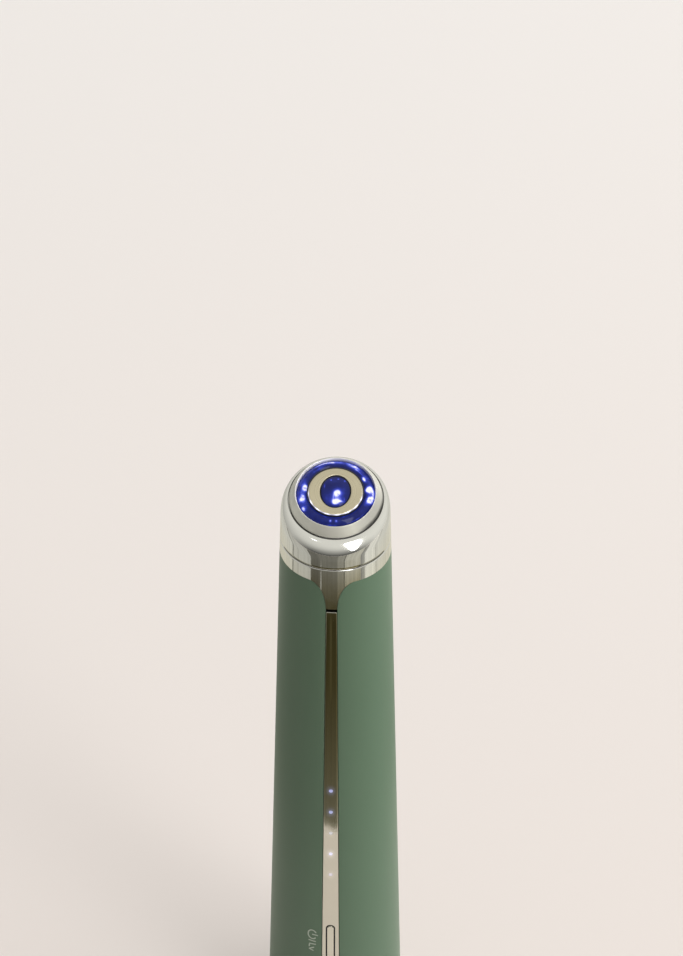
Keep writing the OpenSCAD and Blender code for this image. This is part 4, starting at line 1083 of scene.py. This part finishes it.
def floor_card(name, start, end, near, far_edge, level, lift, kind="even"):
    """A sector of the floor between two bearings, which are degrees to the right of the camera's.

    A dark card starts a little further out towards the left and fades in over SOFT_EDGE from SOFT_LIGHT. A
    brown card has one level throughout. Each column's light also varies at random, by about STREAKS.
    """
    columns = max(3, int(abs(end - start)) + 1)
    bearings = np.linspace(start, end, columns)[None, :]
    angles = np.radians(bearings + CAMERA_BEARING)
    if kind == "dark":
        near = near + 2 + 1.5 * np.clip((-4 - bearings) / 8, 0, 1)
    near = near + 0 * bearings
    r = near * (far_edge / near) ** (np.linspace(0, 1, 90)[:, None] ** 1.5)
    grid = joined(r * np.sin(angles), -r * np.cos(angles), lift)
    if kind == "dark":
        light, brown = level * np.interp(r, *DARK_LIGHT), np.interp(r, *DARK_BROWN)
        soft = np.clip((near + SOFT_EDGE - r) / SOFT_EDGE, 0, 1) ** 2
        light, brown = light + (SOFT_LIGHT - light) * soft, brown * (1 - 0.6 * soft)
    elif kind == "even":
        light, brown = level * np.interp(r, *EVEN_LIGHT), 0.2 * np.interp(r, *EVEN_BROWN)
    else:
        light, brown = level * (1 + 0 * r), 0.9 + 0 * r
    light = light * (1 + STREAKS * streak_draw.standard_normal((1, columns)))
    green, blue = light * (0.98 - 0.14 * brown), light * (0.90 - 0.57 * brown)
    tint = joined(light, green, blue, 1)
    mesh = make_mesh(name, [weave(grid)], {"tint": tint.reshape(-1, 4)})
    card = linked(name, mesh)
    mesh.materials.append(card_paint)
    card.visible_camera = card.visible_diffuse = card.visible_shadow = False
    card.visible_transmission = card.visible_volume_scatter = False


card_paint, paint, _ = start_finish("card light")
glow = add(paint, "Emission", {"Color": carried(paint, "tint", "Color")})
paint.links.new(glow.outputs[0], paint.nodes["Material Output"].inputs["Surface"])
# Name, the two bearings, near and far edge in millimetres, level, height above the floor, and kind.
CARDS = [("left_far_board", -178, -96.5, 100, 3000, 0.64, 0.3),
         ("left_pole", -96.5, -93, 100, 3000, 0.26, 0.4),
         ("left_board", -93, -50, 100, 3000, 0.52, 0.3),
         ("dark_board_left", -50, -31, 119, 4000, 0.145, 0.5, "dark"),
         ("dark_board_middle", -31, 4, 119, 4000, 0.185, 0.5, "dark"),
         ("pale_pole", -29.5, -27.7, 236, 265, 0.40, 0.7),
         ("strip_pole", -11, -6.5, 190, 236, 0.082, 0.7, "brown"),
         ("dark_board_right", 4, 16.5, 119, 4000, 0.27, 0.5, "dark"),
         ("dark_pole", 16.5, 18.7, 119, 4000, 0.16, 0.6, "dark"),
         ("grey_board", 18.7, 51, 119, 4000, 0.52, 0.5, "dark"),
         ("grey_pole", 51, 54, 120, 3000, 0.25, 0.6),
         ("pale_board", 54, 61, 120, 3000, 0.42, 0.5),
         ("bright_board", 61, 87.5, 100, 3000, 0.80, 0.5),
         ("right_pole", 87.5, 90, 100, 3000, 0.45, 0.5),
         ("right_far_board", 90, 178, 100, 3000, 0.70, 0.3)]
for card in CARDS:
    floor_card(*card)
print(len(CARDS), "cards")

# %% Lamps
def toward(bearing, rise):
    """The direction at a bearing to the right of the camera's and a rise above the floor, in degrees."""
    turn, rise = math.radians(bearing + CAMERA_BEARING), math.radians(rise)
    return Vector((math.sin(turn) * math.cos(rise), -math.cos(turn) * math.cos(rise), math.sin(rise)))


def soft_lamp(name, bearing, rise, distance, size, power, target, glossy=True):
    """A round lamp that looks at its target. Distance and width are in metres, power is in watts."""
    data = bpy.data.lights.new(name, "AREA")
    data.shape, data.size, data.energy = "DISK", size, power
    lamp = linked(name, data)
    away = toward(bearing, rise)
    lamp.location = Vector(target) + away * distance
    lamp.rotation_euler = (-away).to_track_quat("-Z", "Y").to_euler()
    lamp.visible_glossy = glossy
    return lamp


BODY_MIDDLE, HEAD_MIDDLE = (0, 0, 0.1), (0, 0, 0.2)
side = soft_lamp("side_lamp", 80, 30, 3.2, 4.4, 122, BODY_MIDDLE, glossy=False)
side.data.color = (1.0, 0.955, 0.96)
soft_lamp("front_lamp", 46, 32, 2.4, 1.1, 17, BODY_MIDDLE, glossy=False)
# The two mirrored lamps make the highlights of the head. A row is bearing, rise, width, height and power.
for bearing, rise, size, tall, power in ((28, 50, 0.38, 2.0, 6.6), (-76, 80, 0.05, 0.05, 0.03)):
    spot = soft_lamp("mirrored_lamp", bearing, rise, 1.5, size, power, HEAD_MIDDLE)
    spot.data.shape, spot.data.size_y = "ELLIPSE", tall
    spot.visible_diffuse = False

# %% [markdown]
# ## The camera
#
# The photograph looks down at the wand from the front, and a little from its right. A long lens keeps the
# sides nearly parallel. The aim is set by where the seam's centre falls in the picture.

# %% Camera
FRAME_W, FRAME_H, FOCAL = 683, 956, 4000.0
SEAM_AT = (335.6, 533.8)
DISTANCE, AZIMUTH, ELEVATION = 1.180, math.radians(CAMERA_BEARING), 40.5
ROLL, SENSOR = math.radians(0.15), 36.0

seam_centre = Vector((0, 0, SEAM_Z * MM))
back = toward(0.0, ELEVATION)
right = Vector((math.cos(AZIMUTH), math.sin(AZIMUTH), 0))
up = back.cross(right)
aim = -back - right * (SEAM_AT[0] - FRAME_W / 2) / FOCAL + up * (SEAM_AT[1] - FRAME_H / 2) / FOCAL
camera_data = bpy.data.cameras.new("photo_camera")
camera_data.sensor_fit, camera_data.sensor_width = "AUTO", SENSOR
camera_data.lens = SENSOR * FOCAL / FRAME_H
camera_data.clip_start, camera_data.clip_end = 0.05, 50.0
camera = linked("photo_camera", camera_data)
camera.location = seam_centre + back * DISTANCE
camera.rotation_euler = (Quaternion(aim, -ROLL) @ aim.to_track_quat("-Z", "Y")).to_euler()
bpy.context.scene.camera = camera
bpy.context.scene.view_settings.view_transform = "Standard"
print("camera at", [round(v, 4) for v in camera.location])
